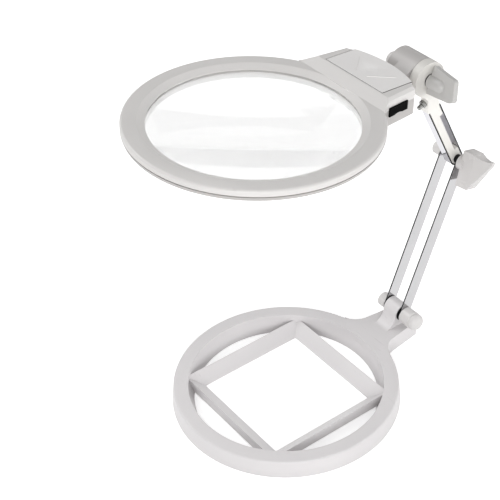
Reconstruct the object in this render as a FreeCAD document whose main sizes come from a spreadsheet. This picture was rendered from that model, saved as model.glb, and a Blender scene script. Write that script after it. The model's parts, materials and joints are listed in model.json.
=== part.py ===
import FreeCAD, Part
import math
import os
import Sketcher

# Folding desk magnifier, millimetres. +Z is up, +X points from the lens towards the hinge pillar, and the
# hinge axes lie along Y with the clamp knobs on the -Y side. The origin is on the table under the middle
# of the whole stand.

SIZES = {
    # Skeleton: the three hinges and the two rings
    "ring_setback": 29.6,
    "base_hinge_reach": 104.6,
    "base_hinge_height": 23.0,
    "lower_arm_length": 124.7,
    "lower_lean_angle": 22.4,
    "upper_arm_length": 92.9,
    "upper_lean_angle": 26.3,
    "head_hinge_beyond": 51.9,
    "head_hinge_drop": 10.0,
    "head_tilt_angle": 3.4,
    # Fits shared by all joints
    "pin_clearance": 0.08,
    "side_clearance": 0.25,
    "overrun": 2.0,
    # Base ring and its window
    "base_ring_radius": 80.0,
    "base_ring_draft": 1.3,
    "base_ring_height": 13.0,
    "base_ring_face": 10.5,
    "base_ring_round": 1.4,
    "base_ring_flare": 4.0,
    "base_flare_height": 6.5,
    "base_wall": 2.0,
    "window_side": 82.7,
    "bar_width": 9.7,
    "bar_height": 8.0,
    "bar_lip": 1.0,
    "bar_wall": 1.6,
    "base_rib_thickness": 1.4,
    "base_rib_count": 12,
    # Neck and pillar
    "neck_root_half_width": 14.8,
    "neck_root_reach": 90.0,
    "neck_end_half_width": 12.0,
    "neck_end_reach": 116.0,
    "neck_blend_radius": 15.0,
    "neck_end_round": 3.0,
    "pillar_half_width": 6.5,
    "pillar_top_radius": 6.8,
    "pillar_back_flare": 2.2,
    # Bolts, heads and washers
    "bolt_radius": 2.5,
    "washer_radius": 6.2,
    "base_head_radius": 5.3,
    "base_head_length": 7.6,
    "mid_head_radius": 5.0,
    "mid_head_length": 8.2,
    "head_round": 1.2,
    "knurl_depth": 0.5,
    "knurl_width": 0.9,
    "knurl_count": 18,
    "spacer_radius": 3.3,
    # Base clamp knob
    "knob_radius": 6.5,
    "knob_length": 9.8,
    "knob_cap_length": 6.4,
    "knob_cap_radius": 6.3,
    "knob_cap_rim": 1.5,
    "nut_radius": 4.2,
    "nut_length": 7.0,
    "nut_inset": 1.0,
    # Lower arm strips
    "strip_width": 10.0,
    "strip_thickness": 1.1,
    "strip_offset": 8.0,
    # Middle wing clamp
    "mid_hub_radius": 6.0,
    "mid_hub_length": 3.4,
    "mid_wing_thickness": 9.6,
    "mid_wing_tip_thickness": 2.6,
    "mid_wing_ridge_out": 9.8,
    "mid_wing_root_up": 10.7,
    "mid_wing_shoulder_up": 11.6,
    "mid_wing_shoulder_out": 9.2,
    "mid_wing_waist_radius": 20.0,
    "mid_wing_tip_up": 11.8,
    "mid_wing_tip_out": 23.8,
    "mid_wing_tip_height": 2.4,
    "mid_wing_heel_down": 15.3,
    "mid_wing_heel_out": 10.2,
    "mid_wing_root_down": 16.4,
    "mid_wing_lean_angle": 13.4,
    # Upper arm channel and its end fitting
    "channel_width": 11.2,
    "channel_depth": 7.0,
    "channel_gauge": 0.9,
    "channel_length": 56.0,
    "core_gap": 0.35,
    "core_setback": 0.1,
    "core_relief_start": 1.2,
    "core_relief_low": 8.0,
    "core_relief_high": 46.0,
    "collar_length": 3.0,
    "eye_radius": 12.5,
    "eye_width": 6.5,
    "stem_half_width": 5.8,
    "stem_flat_half_height": 4.0,
    "stem_low_offset": 3.0,
    "stem_high_offset": 7.2,
    "stem_depth": 7.0,
    "eye_root_half_width": 7.5,
    "eye_root_drop": 13.2,
    "eye_shoulder_half_width": 9.8,
    "eye_shoulder_drop": 6.9,
    "clamp_screw_radius": 1.5,
    "clamp_screw_head_radius": 2.8,
    "clamp_screw_head_height": 1.8,
    "clamp_screw_height": 70.0,
    "clamp_screw_tail": 6.0,
    "clamp_nut_radius": 3.0,
    "clamp_nut_height": 2.4,
    # Head joint
    "barrel_radius": 12.5,
    "barrel_far": 14.5,
    "barrel_near": 7.25,
    "end_disc_radius": 5.2,
    "end_disc_length": 9.0,
    "top_washer_thickness": 0.8,
    "top_washer_radius": 4.6,
    "top_hub_radius": 4.8,
    "top_hub_length": 9.5,
    "top_nut_radius": 3.6,
    "top_wing_thickness": 4.2,
    "top_wing_start": 0.8,
    "top_wing_up": 10.5,
    "top_wing_far_up": 8.2,
    "top_wing_far_out": 20.0,
    "top_wing_tip_out": 23.8,
    "top_wing_tip_down": 4.6,
    "top_wing_heel_out": 21.3,
    "top_wing_heel_down": 6.7,
    "top_wing_down": 8.3,
    "top_wing_lean_angle": 20.0,
    "web_near": 7.0,
    "web_far": 6.0,
    "web_sweep": 26.0,
    "web_toe_drop": 14.0,
    "web_foot_angle": 35.0,
    "web_end_drop": 7.2,
    "tongue_half_width": 5.5,
    "tongue_bottom_drop": 11.8,
    "tongue_fit": 0.1,
    "tongue_length": 4.8,
    "tongue_flange_half_width": 8.0,
    "tongue_flange_thickness": 1.6,
    # Head ring
    "head_ring_radius": 80.0,
    "head_ring_face": 10.0,
    "head_ring_round": 1.6,
    "head_ring_chamfer": 5.0,
    "head_chamfer_drop": 2.4,
    "head_ring_thickness": 8.6,
    "ring_seam_drop": 4.0,
    "seam_groove": 0.7,
    "seam_groove_depth": 0.8,
    "lower_ring_taper": 1.6,
    "lens_lip": 0.5,
    "lens_rim_cover": 1.8,
    "sink": 0.5,
    # Handle
    "handle_root_half_width": 36.2,
    "handle_root_beyond": -10.0,
    "handle_end_half_width": 33.0,
    "handle_end_beyond": 20.2,
    "handle_end_radius": 79.0,
    "handle_blend_radius": 14.0,
    "handle_rise": 3.8,
    "handle_ramp_beyond": -3.0,
    "handle_depth": 17.5,
    "handle_wall": 2.0,
    "handle_bevel": 1.8,
    "handle_bevel_angle": 45.0,
    "handle_lower_bevel": 2.5,
    "handle_hollow_beyond": -4.0,
    "handle_front_slope": 5.4,
    "handle_tail_rise": 3.5,
    "handle_tail_length": 14.0,
    "handle_well_beyond": 12.0,
    "handle_shelf_drop": 12.5,
    # Battery cover
    "cover_front_beyond": -1.9,
    "cover_half_width": 27.3,
    "cover_gap": 0.2,
    "cover_hook_length": 1.2,
    "cover_hook_root": 2.0,
    "cover_hook_width": 8.0,
    "cover_hook_thickness": 0.9,
    "cover_hook_spacing": 16.0,
    "dimple_radius": 4.6,
    "dimple_depth": 0.7,
    "dimple_beyond": 13.0,
    "arch_width": 0.8,
    "arch_height": 0.35,
    "arch_foot_half_width": 17.0,
    "arch_foot_beyond": 18.0,
    "arch_top_half_width": 5.0,
    "arch_top_beyond": 4.5,
    # Batteries and contacts
    "cell_radius": 5.2,
    "cell_length": 43.5,
    "cell_cap_radius": 1.9,
    "cell_cap_length": 1.0,
    "cell_spacing": 10.6,
    "cell_first_beyond": 3.0,
    "cell_drop": 5.7,
    "contact_size": 8.0,
    "contact_thickness": 0.5,
    "contact_spring_length": 2.8,
    "contact_spring_radius": 2.6,
    "contact_wire_radius": 0.35,
    "contact_spring_turns": 2.5,
    "cradle_thickness": 1.6,
    "cradle_spacing": 24.0,
    "end_rib_thickness": 1.5,
    "end_rib_drop": 2.0,
    # Switch
    "switch_start_beyond": -3.5,
    "switch_end_beyond": 13.0,
    "switch_top_drop": 2.4,
    "switch_bottom_drop": 8.5,
    "switch_proud": 1.2,
    "switch_stem_length": 4.0,
    "switch_stem_height": 2.4,
    "switch_stem_drop": 6.4,
    "switch_travel": 2.5,
    "switch_scoop_radius": 9.0,
    "switch_scoop_depth": 0.7,
    "switch_body_length": 10.0,
    "switch_body_height": 5.0,
    "switch_body_depth": 2.4,
    # Lamp
    "led_radius": 2.0,
    "led_length": 7.5,
    "led_spacing": 16.0,
    "led_drop": 12.2,
    "board_width": 30.0,
    "board_height": 5.5,
    "board_thickness": 1.2,
    # Lens
    "lens_fit": 0.3,
    "lens_thickness": 13.0,
    "lens_edge": 2.1,
    "lens_drop": 4.2,
    "spot_radius": 12.5,
    "spot_height": 0.6,
    "spot_reach": 50.5,
    # Screws between the shells
    "shell_screw_radius": 1.0,
    "shell_screw_head_radius": 2.0,
    "shell_screw_head_height": 1.2,
    "shell_screw_length": 6.2,
    "shell_screw_beyond": -6.5,
    "shell_screw_recess": 0.4,
    "shell_screw_start_angle": 45.0,
    "shell_screw_count": 4,
}

doc = FreeCAD.newDocument("StandMagnifier")
sheet = doc.addObject("Spreadsheet::Sheet", "Sizes")
for row, (alias, number) in enumerate(SIZES.items(), start=1):
    sheet.set(f"A{row}", alias.replace("_", " "))
    sheet.set(f"B{row}", str(number))
    sheet.setAlias(f"B{row}", alias)
doc.recompute()


class Size:
    """A length, angle or count that carries the sheet formula it comes from."""

    def __init__(self, value, formula=None):
        self.value = float(value)
        self.formula = formula or str(value)

    @staticmethod
    def of(thing):
        return thing if isinstance(thing, Size) else Size(thing)

    def join(self, other, sign, value):
        return Size(value, f"({self.formula} {sign} {other.formula})")

    def __add__(self, other):
        other = Size.of(other)
        return self.join(other, "+", self.value + other.value)

    def __radd__(self, other):
        return Size.of(other) + self

    def __sub__(self, other):
        other = Size.of(other)
        return self.join(other, "-", self.value - other.value)

    def __rsub__(self, other):
        return Size.of(other) - self

    def __mul__(self, other):
        other = Size.of(other)
        return self.join(other, "*", self.value * other.value)

    def __rmul__(self, other):
        return Size.of(other) * self

    def __truediv__(self, other):
        other = Size.of(other)
        return self.join(other, "/", self.value / other.value)

    def __neg__(self):
        return Size(-self.value, f"(-{self.formula})")


class Sheet:
    """Gives each cell of the sheet as a Size, by its alias."""

    def __getattr__(self, alias):
        return Size(SIZES[alias], f"Sizes.{alias}")


s = Sheet()


def sin(angle):
    return Size(math.sin(math.radians(angle.value)), f"sin({angle.formula})")


def cos(angle):
    return Size(math.cos(math.radians(angle.value)), f"cos({angle.formula})")


def root(size):
    return Size(math.sqrt(size.value), f"sqrt({size.formula})")


def bind(thing, prop, size):
    """Ties a property of an object to the sheet."""
    thing.setExpression(prop, Size.of(size).formula)


# Reaches along the head, from the ring's middle. Each is kept as a distance beyond the ring's edge, so that
# the handle and what it holds stay with the ring.

head_hinge_reach = s.head_ring_radius + s.head_hinge_beyond
handle_root_reach = s.head_ring_radius + s.handle_root_beyond
handle_end_reach = s.head_ring_radius + s.handle_end_beyond
handle_ramp_end = s.head_ring_radius + s.handle_ramp_beyond
handle_hollow_start = s.head_ring_radius + s.handle_hollow_beyond
handle_well_end = s.head_ring_radius + s.handle_well_beyond
cover_front = s.head_ring_radius + s.cover_front_beyond
dimple_reach = s.head_ring_radius + s.dimple_beyond
arch_foot_reach = s.head_ring_radius + s.arch_foot_beyond
arch_top_reach = s.head_ring_radius + s.arch_top_beyond
cell_first_reach = s.head_ring_radius + s.cell_first_beyond
switch_start = s.head_ring_radius + s.switch_start_beyond
switch_end = s.head_ring_radius + s.switch_end_beyond
shell_screw_circle = s.head_ring_radius + s.shell_screw_beyond

# Places of the three hinge axes, as (x, z), and of the head ring's centre on its top plane

base_centre = (-s.ring_setback, Size(0))
base_pivot = (s.base_hinge_reach - s.ring_setback, s.base_hinge_height)
mid_pivot = (
    base_pivot[0] + s.lower_arm_length * sin(s.lower_lean_angle),
    base_pivot[1] + s.lower_arm_length * cos(s.lower_lean_angle),
)
head_pivot = (
    mid_pivot[0] - s.upper_arm_length * sin(s.upper_lean_angle),
    mid_pivot[1] + s.upper_arm_length * cos(s.upper_lean_angle),
)
head_centre = (
    head_pivot[0] - head_hinge_reach * cos(s.head_tilt_angle) + s.head_hinge_drop * sin(s.head_tilt_angle),
    head_pivot[1] + head_hinge_reach * sin(s.head_tilt_angle) + s.head_hinge_drop * cos(s.head_tilt_angle),
)

on_base = (base_centre, Size(0))
on_base_hinge = (base_pivot, Size(0))
on_lower_arm = (base_pivot, s.lower_lean_angle)
on_mid_hinge = (mid_pivot, Size(0))
on_upper_arm = (mid_pivot, -s.upper_lean_angle)
on_head_hinge = (head_pivot, Size(0))
on_head = (head_centre, s.head_tilt_angle)

pieces = []


def place(thing, where):
    """Puts a piece at its hinge or ring centre, leaning about the Y axis."""
    (x, z), lean = where
    thing.Placement = FreeCAD.Placement(
        FreeCAD.Vector(x.value, 0, z.value), FreeCAD.Rotation(FreeCAD.Vector(0, 1, 0), lean.value)
    )
    bind(thing, "Placement.Base.x", x)
    bind(thing, "Placement.Base.z", z)
    if lean.value:
        bind(thing, "Placement.Rotation.Angle", lean)


def new_body(label, where):
    body = doc.addObject("PartDesign::Body", label)
    body.Label = label
    body.AllowCompound = True
    place(body, where)
    pieces.append(body)
    return body


def new_sketch(body, plane, height=None):
    """A sketch on one of the body's own planes, lifted along the plane's normal by a height."""
    support = next(f for f in body.Origin.OriginFeatures if f.Role == plane)
    sketch = body.newObject("Sketcher::SketchObject", body.Label + "_sketch")
    sketch.AttachmentSupport = [(support, "")]
    sketch.MapMode = "FlatFace"
    if height is not None:
        bind(sketch, "AttachmentOffset.Base.z", height)
    return sketch


def fix_point(sketch, edge, end, x, y):
    """Dimensions one end of an edge from the sketch's origin."""
    for kind, size in (("DistanceX", x), ("DistanceY", y)):
        size = Size.of(size)
        number = sketch.addConstraint(Sketcher.Constraint(kind, -1, 1, edge, end, size.value))
        sketch.setExpression(f"Constraints[{number}]", size.formula)


def outline(sketch, points):
    """A closed outline. A point is (x, y), or (x, y, radius) where an arc leads to the next point, with its
    centre on the left for a positive radius and on the right for a negative one."""
    flat = [FreeCAD.Vector(Size.of(p[0]).value, Size.of(p[1]).value, 0) for p in points]
    first = sketch.GeometryCount
    ends = []
    for index, point in enumerate(points):
        start = flat[index]
        end = flat[(index + 1) % len(points)]
        if len(point) == 2:
            edge = sketch.addGeometry(Part.LineSegment(start, end), False)
            ends.append((edge, 1, 2))
            continue
        radius = Size.of(point[2])
        chord = end - start
        left = FreeCAD.Vector(-chord.y, chord.x, 0).normalize()
        reach = math.sqrt(max(radius.value**2 - (chord.Length / 2) ** 2, 0))
        centre = start + chord * 0.5 + left * math.copysign(reach, radius.value)
        circle = Part.Circle(centre, FreeCAD.Vector(0, 0, 1), abs(radius.value))
        bearings = [math.atan2(p.y - centre.y, p.x - centre.x) for p in (start, end)]
        if radius.value < 0:
            bearings.reverse()
        edge = sketch.addGeometry(Part.ArcOfCircle(circle, *bearings), False)
        ends.append((edge, 1, 2) if radius.value > 0 else (edge, 2, 1))
        number = sketch.addConstraint(Sketcher.Constraint("Radius", edge, abs(radius.value)))
        sketch.setExpression(f"Constraints[{number}]", f"abs({radius.formula})")
    for index, (edge, start, end) in enumerate(ends):
        following, following_start, _ = ends[(index + 1) % len(ends)]
        sketch.addConstraint(Sketcher.Constraint("Coincident", edge, end, following, following_start))
        fix_point(sketch, edge, start, points[index][0], points[index][1])
    return first


def circle(sketch, x, y, radius):
    x, y, radius = Size.of(x), Size.of(y), Size.of(radius)
    centre = FreeCAD.Vector(x.value, y.value, 0)
    edge = sketch.addGeometry(Part.Circle(centre, FreeCAD.Vector(0, 0, 1), radius.value), False)
    fix_point(sketch, edge, 3, x, y)
    number = sketch.addConstraint(Sketcher.Constraint("Radius", edge, radius.value))
    sketch.setExpression(f"Constraints[{number}]", radius.formula)


def both_sides(half):
    """Completes an outline that is the same on both sides of the sketch's x axis."""
    points = list(half)
    for index in range(len(half) - 1, -1, -1):
        x, y = half[index][:2]
        before = half[index - 1] if index else ()
        points.append((x, -Size.of(y)) + tuple(before[2:]))
    return points


def rectangle(x0, y0, x1, y1):
    return [(x0, y0), (x1, y0), (x1, y1), (x0, y1)]


def extrude(kind, body, sketch, length, both_ways=False, backwards=False):
    feature = body.newObject(kind, body.Label + "_step")
    feature.Profile = sketch
    feature.SideType = "Symmetric" if both_ways else "One side"
    feature.Reversed = backwards
    bind(feature, "Length", length)
    sketch.Visibility = False
    return feature


def pad(body, sketch, length, both_ways=False, backwards=False):
    return extrude("PartDesign::Pad", body, sketch, length, both_ways, backwards)


def pocket(body, sketch, length, both_ways=False, backwards=False):
    """Cuts against the sketch's normal, or along it when backwards."""
    return extrude("PartDesign::Pocket", body, sketch, length, both_ways, backwards)


def revolve(body, sketch, kind="PartDesign::Revolution"):
    """Turns a section about the sketch's own vertical axis."""
    feature = body.newObject(kind, body.Label + "_turned")
    feature.Profile = sketch
    feature.ReferenceAxis = (sketch, ["V_Axis"])
    feature.Angle = 360
    sketch.Visibility = False
    return feature


def loft(body, sections, kind="PartDesign::AdditiveLoft"):
    feature = body.newObject(kind, body.Label + "_loft")
    feature.Profile = sections[0]
    feature.Sections = sections[1:]
    feature.Ruled = True
    return feature


def repeat_round(body, feature, axis, count):
    """Repeats a feature evenly round one of the body's own axes."""
    pattern = body.newObject("PartDesign::PolarPattern", body.Label + "_round")
    pattern.Originals = [feature]
    pattern.Axis = (next(f for f in body.Origin.OriginFeatures if f.Role == axis), [""])
    pattern.Angle = 360
    bind(pattern, "Occurrences", count)
    body.Tip = pattern
    return pattern


def turned(label, where, section):
    """A piece turned about the hinge axis. The section is (radius, y) points."""
    body = new_body(label, where)
    sketch = new_sketch(body, "XY_Plane")
    outline(sketch, section)
    revolve(body, sketch)
    return body


# Base frame: one moulding with the ring, the square window of sloping bars, the neck and the hinge pillar.
# It is an open channel underneath, stiffened by radial ribs.

def blend_points(ring_radius, root_x, root_y, end_x, end_y, radius):
    """Where an arc that is tangent to the ring and to a straight side leaves the ring and meets the side."""
    run = end_x - root_x
    rise = end_y - root_y
    length = root(run * run + rise * rise)
    along = (run / length, rise / length)
    across = (-along[1], along[0])
    offset = across[0] * root_x + across[1] * root_y
    reach = root((ring_radius + radius) * (ring_radius + radius) - (offset + radius) * (offset + radius))
    foot = (across[0] * offset + along[0] * reach, across[1] * offset + along[1] * reach)
    share = ring_radius / (ring_radius + radius)
    centre = (foot[0] + across[0] * radius, foot[1] + across[1] * radius)
    return (centre[0] * share, centre[1] * share), foot


def base_frame():
    body = new_body("base_frame", on_base)
    half_window = s.window_side / 2
    half_outside = half_window + s.bar_width
    slope = (s.bar_height - s.bar_lip) / s.bar_width

    def square(half_side, height):
        sketch = new_sketch(body, "XY_Plane", height)
        outline(sketch, rectangle(-half_side, -half_side, half_side, half_side))
        return sketch

    # The bars are cut from a square plate: hollow below, then the middle is put back, sloped and opened.
    pad(body, square(half_outside, Size(0)), s.bar_height)
    half_hollow = half_outside - s.bar_wall
    hollow_foot = half_window + s.bar_wall
    hollow_height = (half_hollow - hollow_foot) * slope
    pocket(body, square(half_hollow, Size(0)), hollow_height, backwards=True)
    loft(body, [square(hollow_foot, Size(0)), square(half_hollow, hollow_height)])
    loft(
        body,
        [square(half_window, s.bar_lip), square(half_outside + s.overrun, s.bar_height + s.overrun * slope)],
        "PartDesign::SubtractiveLoft",
    )
    pocket(body, square(half_window, Size(0)), s.bar_height, backwards=True)

    outer = s.base_ring_radius
    inner = outer - s.base_ring_face
    top = s.base_ring_height
    wall = s.base_wall
    section = new_sketch(body, "XZ_Plane")
    outline(
        section,
        [
            (outer + s.base_ring_draft, 0),
            (outer, top - s.base_ring_round, s.base_ring_round),
            (outer - s.base_ring_round, top),
            (inner, top),
            (inner, s.base_flare_height),
            (inner - s.base_ring_flare, 0),
            (inner - s.base_ring_flare + wall, 0),
            (inner + wall, s.base_flare_height),
            (inner + wall, top - wall),
            (outer - wall, top - wall),
            (outer + s.base_ring_draft - wall, 0),
        ],
    )
    revolve(body, section)

    # The ribs reach halfway into the walls.
    half_wall = wall / 2
    rib = new_sketch(body, "XZ_Plane")
    outline(
        rib,
        [
            (inner - s.base_ring_flare + half_wall, s.bar_lip),
            (outer + s.base_ring_draft - half_wall, s.bar_lip),
            (outer - half_wall, top - half_wall),
            (inner + half_wall, top - half_wall),
            (inner + half_wall, s.base_flare_height),
        ],
    )
    first_rib = pad(body, rib, s.base_rib_thickness, both_ways=True)
    repeat_round(body, first_rib, "Z_Axis", s.base_rib_count)

    start, foot = blend_points(
        outer,
        s.neck_root_reach,
        s.neck_root_half_width,
        s.neck_end_reach,
        s.neck_end_half_width,
        s.neck_blend_radius,
    )
    neck = new_sketch(body, "XY_Plane")
    outline(
        neck,
        both_sides(
            [
                (start[0], start[1], s.neck_blend_radius),
                (foot[0], foot[1]),
                (s.neck_end_reach - s.neck_end_round, s.neck_end_half_width, -s.neck_end_round),
                (s.neck_end_reach, s.neck_end_half_width - s.neck_end_round),
            ]
        ),
    )
    pad(body, neck, top)
    hollow = new_sketch(body, "XY_Plane")
    outline(
        hollow,
        rectangle(
            outer + s.base_ring_draft,
            -s.neck_end_half_width + wall,
            s.neck_end_reach - wall,
            s.neck_end_half_width - wall,
        ),
    )
    pocket(body, hollow, top - wall, backwards=True)

    axis_x = s.base_hinge_reach
    axis_z = s.base_hinge_height
    cap = s.pillar_top_radius
    foot_drop = axis_z - top
    pillar = new_sketch(body, "XZ_Plane")
    outline(
        pillar,
        [
            (axis_x - cap - foot_drop, top - wall / 2),
            (axis_x + cap + s.pillar_back_flare, top - wall / 2),
            (axis_x + cap + s.pillar_back_flare, top),
            (axis_x + cap, axis_z, cap),
            (axis_x, axis_z + cap, cap),
            (axis_x - cap, axis_z, -foot_drop),
            (axis_x - cap - foot_drop, top),
        ],
    )
    pad(body, pillar, s.pillar_half_width * 2, both_ways=True)
    bore = new_sketch(body, "XZ_Plane")
    circle(bore, axis_x, axis_z, s.bolt_radius)
    pocket(body, bore, s.pillar_half_width * 2 + s.overrun, both_ways=True)


base_frame()


# Base clamp: a steel bolt pressed into the pillar, its knurled far head, and two rubber washers

strip_inner = s.strip_offset - s.strip_thickness / 2
strip_outer = s.strip_offset + s.strip_thickness / 2
strip_bore = s.bolt_radius + s.pin_clearance


def plain_bolt(label, where, near, far):
    """A smooth bolt along the hinge axis."""
    return turned(label, where, rectangle(0, near, s.bolt_radius, far))


def round_head(label, where, radius, seat, length):
    """A plastic head on the far end of a bolt, with a rounded end face and a bore for the bolt."""
    end = seat + length
    rim = s.head_round
    section = [
        (s.bolt_radius, seat),
        (radius, seat),
        (radius, end - rim, rim),
        (radius - rim, end),
        (0, end),
        (0, end - rim),
        (s.bolt_radius, end - rim),
    ]
    return turned(label, where, section)


def washer_pair(label, where, radius, bore, inner, outer):
    """Two flat rings, one on each side of the joint, between two distances from its middle."""
    body = new_body(label, where)
    for side in (1, -1):
        sketch = new_sketch(body, "XZ_Plane", inner * side)
        circle(sketch, 0, 0, radius)
        circle(sketch, 0, 0, bore)
        pad(body, sketch, outer - inner, backwards=side < 0)
    return body


def knurl(body, radius, near, far):
    """Cuts even grooves round a head, along the hinge axis."""
    sketch = new_sketch(body, "XZ_Plane", -far - s.overrun)
    outline(
        sketch,
        [
            (radius - s.knurl_depth, 0),
            (radius + s.knurl_depth, -s.knurl_width),
            (radius + s.knurl_depth, s.knurl_width),
        ],
    )
    groove = pocket(body, sketch, far - near + s.overrun * 2, backwards=True)
    repeat_round(body, groove, "Y_Axis", s.knurl_count)


base_seat = strip_outer + s.side_clearance
base_knob_end = base_seat + s.knob_length
plain_bolt(
    "base_bolt", on_base_hinge, s.nut_inset - base_knob_end, base_seat + s.base_head_length - s.head_round
)
base_head = round_head("base_bolt_head", on_base_hinge, s.base_head_radius, base_seat, s.base_head_length)
knurl(base_head, s.base_head_radius, base_seat + s.head_round, base_seat + s.base_head_length)
washer_pair(
    "base_washers",
    on_base_hinge,
    s.washer_radius,
    s.bolt_radius,
    s.pillar_half_width,
    strip_inner - s.side_clearance,
)


# Base knob: a round plastic cup on the bolt's near end, with a brass nut inside and a domed cap

def base_knob():
    cup_floor = base_knob_end - s.nut_length
    turned(
        "base_knob",
        on_base_hinge,
        [
            (strip_bore, -base_seat),
            (s.knob_radius, -base_seat),
            (s.knob_radius, -base_knob_end),
            (s.nut_radius, -base_knob_end),
            (s.nut_radius, -cup_floor),
            (strip_bore, -cup_floor),
        ],
    )
    turned(
        "base_knob_nut", on_base_hinge, rectangle(strip_bore, -base_knob_end, s.nut_radius, -cup_floor)
    )
    dome = s.knob_cap_length - s.knob_cap_rim
    dome_radius = (s.knob_cap_radius * s.knob_cap_radius + dome * dome) / (dome * 2)
    turned(
        "base_knob_cap",
        on_base_hinge,
        [
            (0, -base_knob_end),
            (s.knob_cap_radius, -base_knob_end),
            (s.knob_cap_radius, -base_knob_end - s.knob_cap_rim, -dome_radius),
            (0, -base_knob_end - s.knob_cap_length),
        ],
    )


base_knob()


# Lower arm: two flat chromed strips with rounded ends, one each side of the pillar

def strip_outline(half_width, length):
    return [
        (half_width, 0),
        (half_width, length, half_width),
        (0, length + half_width, half_width),
        (-half_width, length),
        (-half_width, 0, half_width),
        (0, -half_width, half_width),
    ]


def lower_strip(label, side):
    body = new_body(label, on_lower_arm)
    flat = new_sketch(body, "XZ_Plane", s.strip_offset * side)
    outline(flat, strip_outline(s.strip_width / 2, s.lower_arm_length))
    circle(flat, 0, 0, strip_bore)
    circle(flat, 0, s.lower_arm_length, s.bolt_radius)
    pad(body, flat, s.strip_thickness, both_ways=True)


lower_strip("lower_strip_near", 1)
lower_strip("lower_strip_far", -1)


# Middle clamp: bolt, far head and rubber spacers stay with the lower arm, and the wing turns on the bolt

mid_seat = strip_outer + s.side_clearance
mid_nut_end = mid_seat + s.nut_inset + s.nut_length
mid_bolt_end = strip_outer + s.mid_head_length - s.head_round
plain_bolt("mid_bolt", on_mid_hinge, s.nut_inset / 2 - mid_nut_end, mid_bolt_end)
round_head("mid_bolt_head", on_mid_hinge, s.mid_head_radius, strip_outer, s.mid_head_length)
washer_pair(
    "mid_spacers",
    on_mid_hinge,
    s.spacer_radius,
    s.bolt_radius,
    s.channel_depth / 2 + s.side_clearance,
    strip_inner,
)


def nut_cavity(body, seat, nut_radius):
    """Opens a wing for the bolt and for the nut that is moulded into it."""
    front = seat + s.nut_inset
    section = new_sketch(body, "XY_Plane")
    outline(
        section,
        [
            (0, -seat + s.overrun),
            (strip_bore, -seat + s.overrun),
            (strip_bore, -front),
            (nut_radius, -front),
            (nut_radius, -front - s.nut_length),
            (0, -front - s.nut_length),
        ],
    )
    revolve(body, section, "PartDesign::Groove")


def moulded_nut(label, where, seat, nut_radius):
    front = seat + s.nut_inset
    turned(label, where, rectangle(strip_bore, -front - s.nut_length, nut_radius, -front))


def mid_wing_knob():
    where = (mid_pivot, s.mid_wing_lean_angle)
    body = new_body("mid_wing_knob", where)
    root_out = mid_seat + s.mid_hub_length
    tip_out = root_out + s.mid_wing_tip_out
    blade = new_sketch(body, "YZ_Plane")
    outline(
        blade,
        [
            (-root_out, s.mid_wing_root_up),
            (-root_out - s.mid_wing_shoulder_out, s.mid_wing_shoulder_up, -s.mid_wing_waist_radius),
            (-tip_out, s.mid_wing_tip_up),
            (-tip_out, s.mid_wing_tip_up - s.mid_wing_tip_height),
            (-root_out - s.mid_wing_heel_out, -s.mid_wing_heel_down),
            (-root_out, -s.mid_wing_root_down),
        ],
    )
    pad(body, blade, s.mid_wing_thickness, both_ways=True)
    # The blade keeps its thickness to the ridge, and tapers from there to the tip.
    thick = s.mid_wing_thickness / 2
    thin = s.mid_wing_tip_thickness / 2
    ridge_out = root_out + s.mid_wing_ridge_out
    for side in (1, -1):
        taper = new_sketch(body, "XY_Plane")
        outline(
            taper,
            [
                (thick * side, -ridge_out),
                (thin * side, -tip_out),
                (thin * side, -tip_out - s.overrun),
                ((thick + s.overrun) * side, -tip_out - s.overrun),
                ((thick + s.overrun) * side, -ridge_out),
            ],
        )
        pocket(body, taper, (s.mid_wing_root_up + s.mid_wing_root_down) * 2, both_ways=True)
    hub = new_sketch(body, "XY_Plane")
    outline(hub, rectangle(0, -root_out - s.overrun, s.mid_hub_radius, -mid_seat))
    revolve(body, hub)
    nut_cavity(body, mid_seat, s.nut_radius)
    moulded_nut("mid_knob_nut", where, mid_seat, s.nut_radius)


mid_wing_knob()


# Upper arm: a chromed channel with a rounded lower end, open on its near side

def rounded_strip(half, length):
    """An outline with a round end about the origin and a square far end."""
    return [
        (half, 0),
        (half, length),
        (-half, length),
        (-half, 0, half),
        (0, -half, half),
    ]


def upper_channel():
    body = new_body("upper_channel", on_upper_arm)
    half_width = s.channel_width / 2
    half_depth = s.channel_depth / 2
    outside = new_sketch(body, "XZ_Plane")
    outline(outside, rounded_strip(half_width, s.channel_length))
    pad(body, outside, s.channel_depth, both_ways=True)
    inside = new_sketch(body, "XZ_Plane", half_depth)
    outline(inside, rounded_strip(half_width - s.channel_gauge, s.channel_length + s.overrun))
    pocket(body, inside, s.channel_depth - s.channel_gauge)
    bore = new_sketch(body, "XZ_Plane")
    circle(bore, 0, 0, strip_bore)
    pocket(body, bore, s.channel_depth + s.overrun, both_ways=True)


upper_channel()


# End fitting: a plastic core that fills the channel down to the middle bolt. Above the channel its stem bends
# to the near side and ends in the eye of the head joint. A clamp screw with its nut passes through the stem.

eye_far = s.barrel_near + s.side_clearance
eye_near = eye_far + s.eye_width
stem_start = s.channel_length + s.collar_length
clamp_screw_offset = (s.stem_low_offset + s.stem_high_offset) / 2


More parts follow.
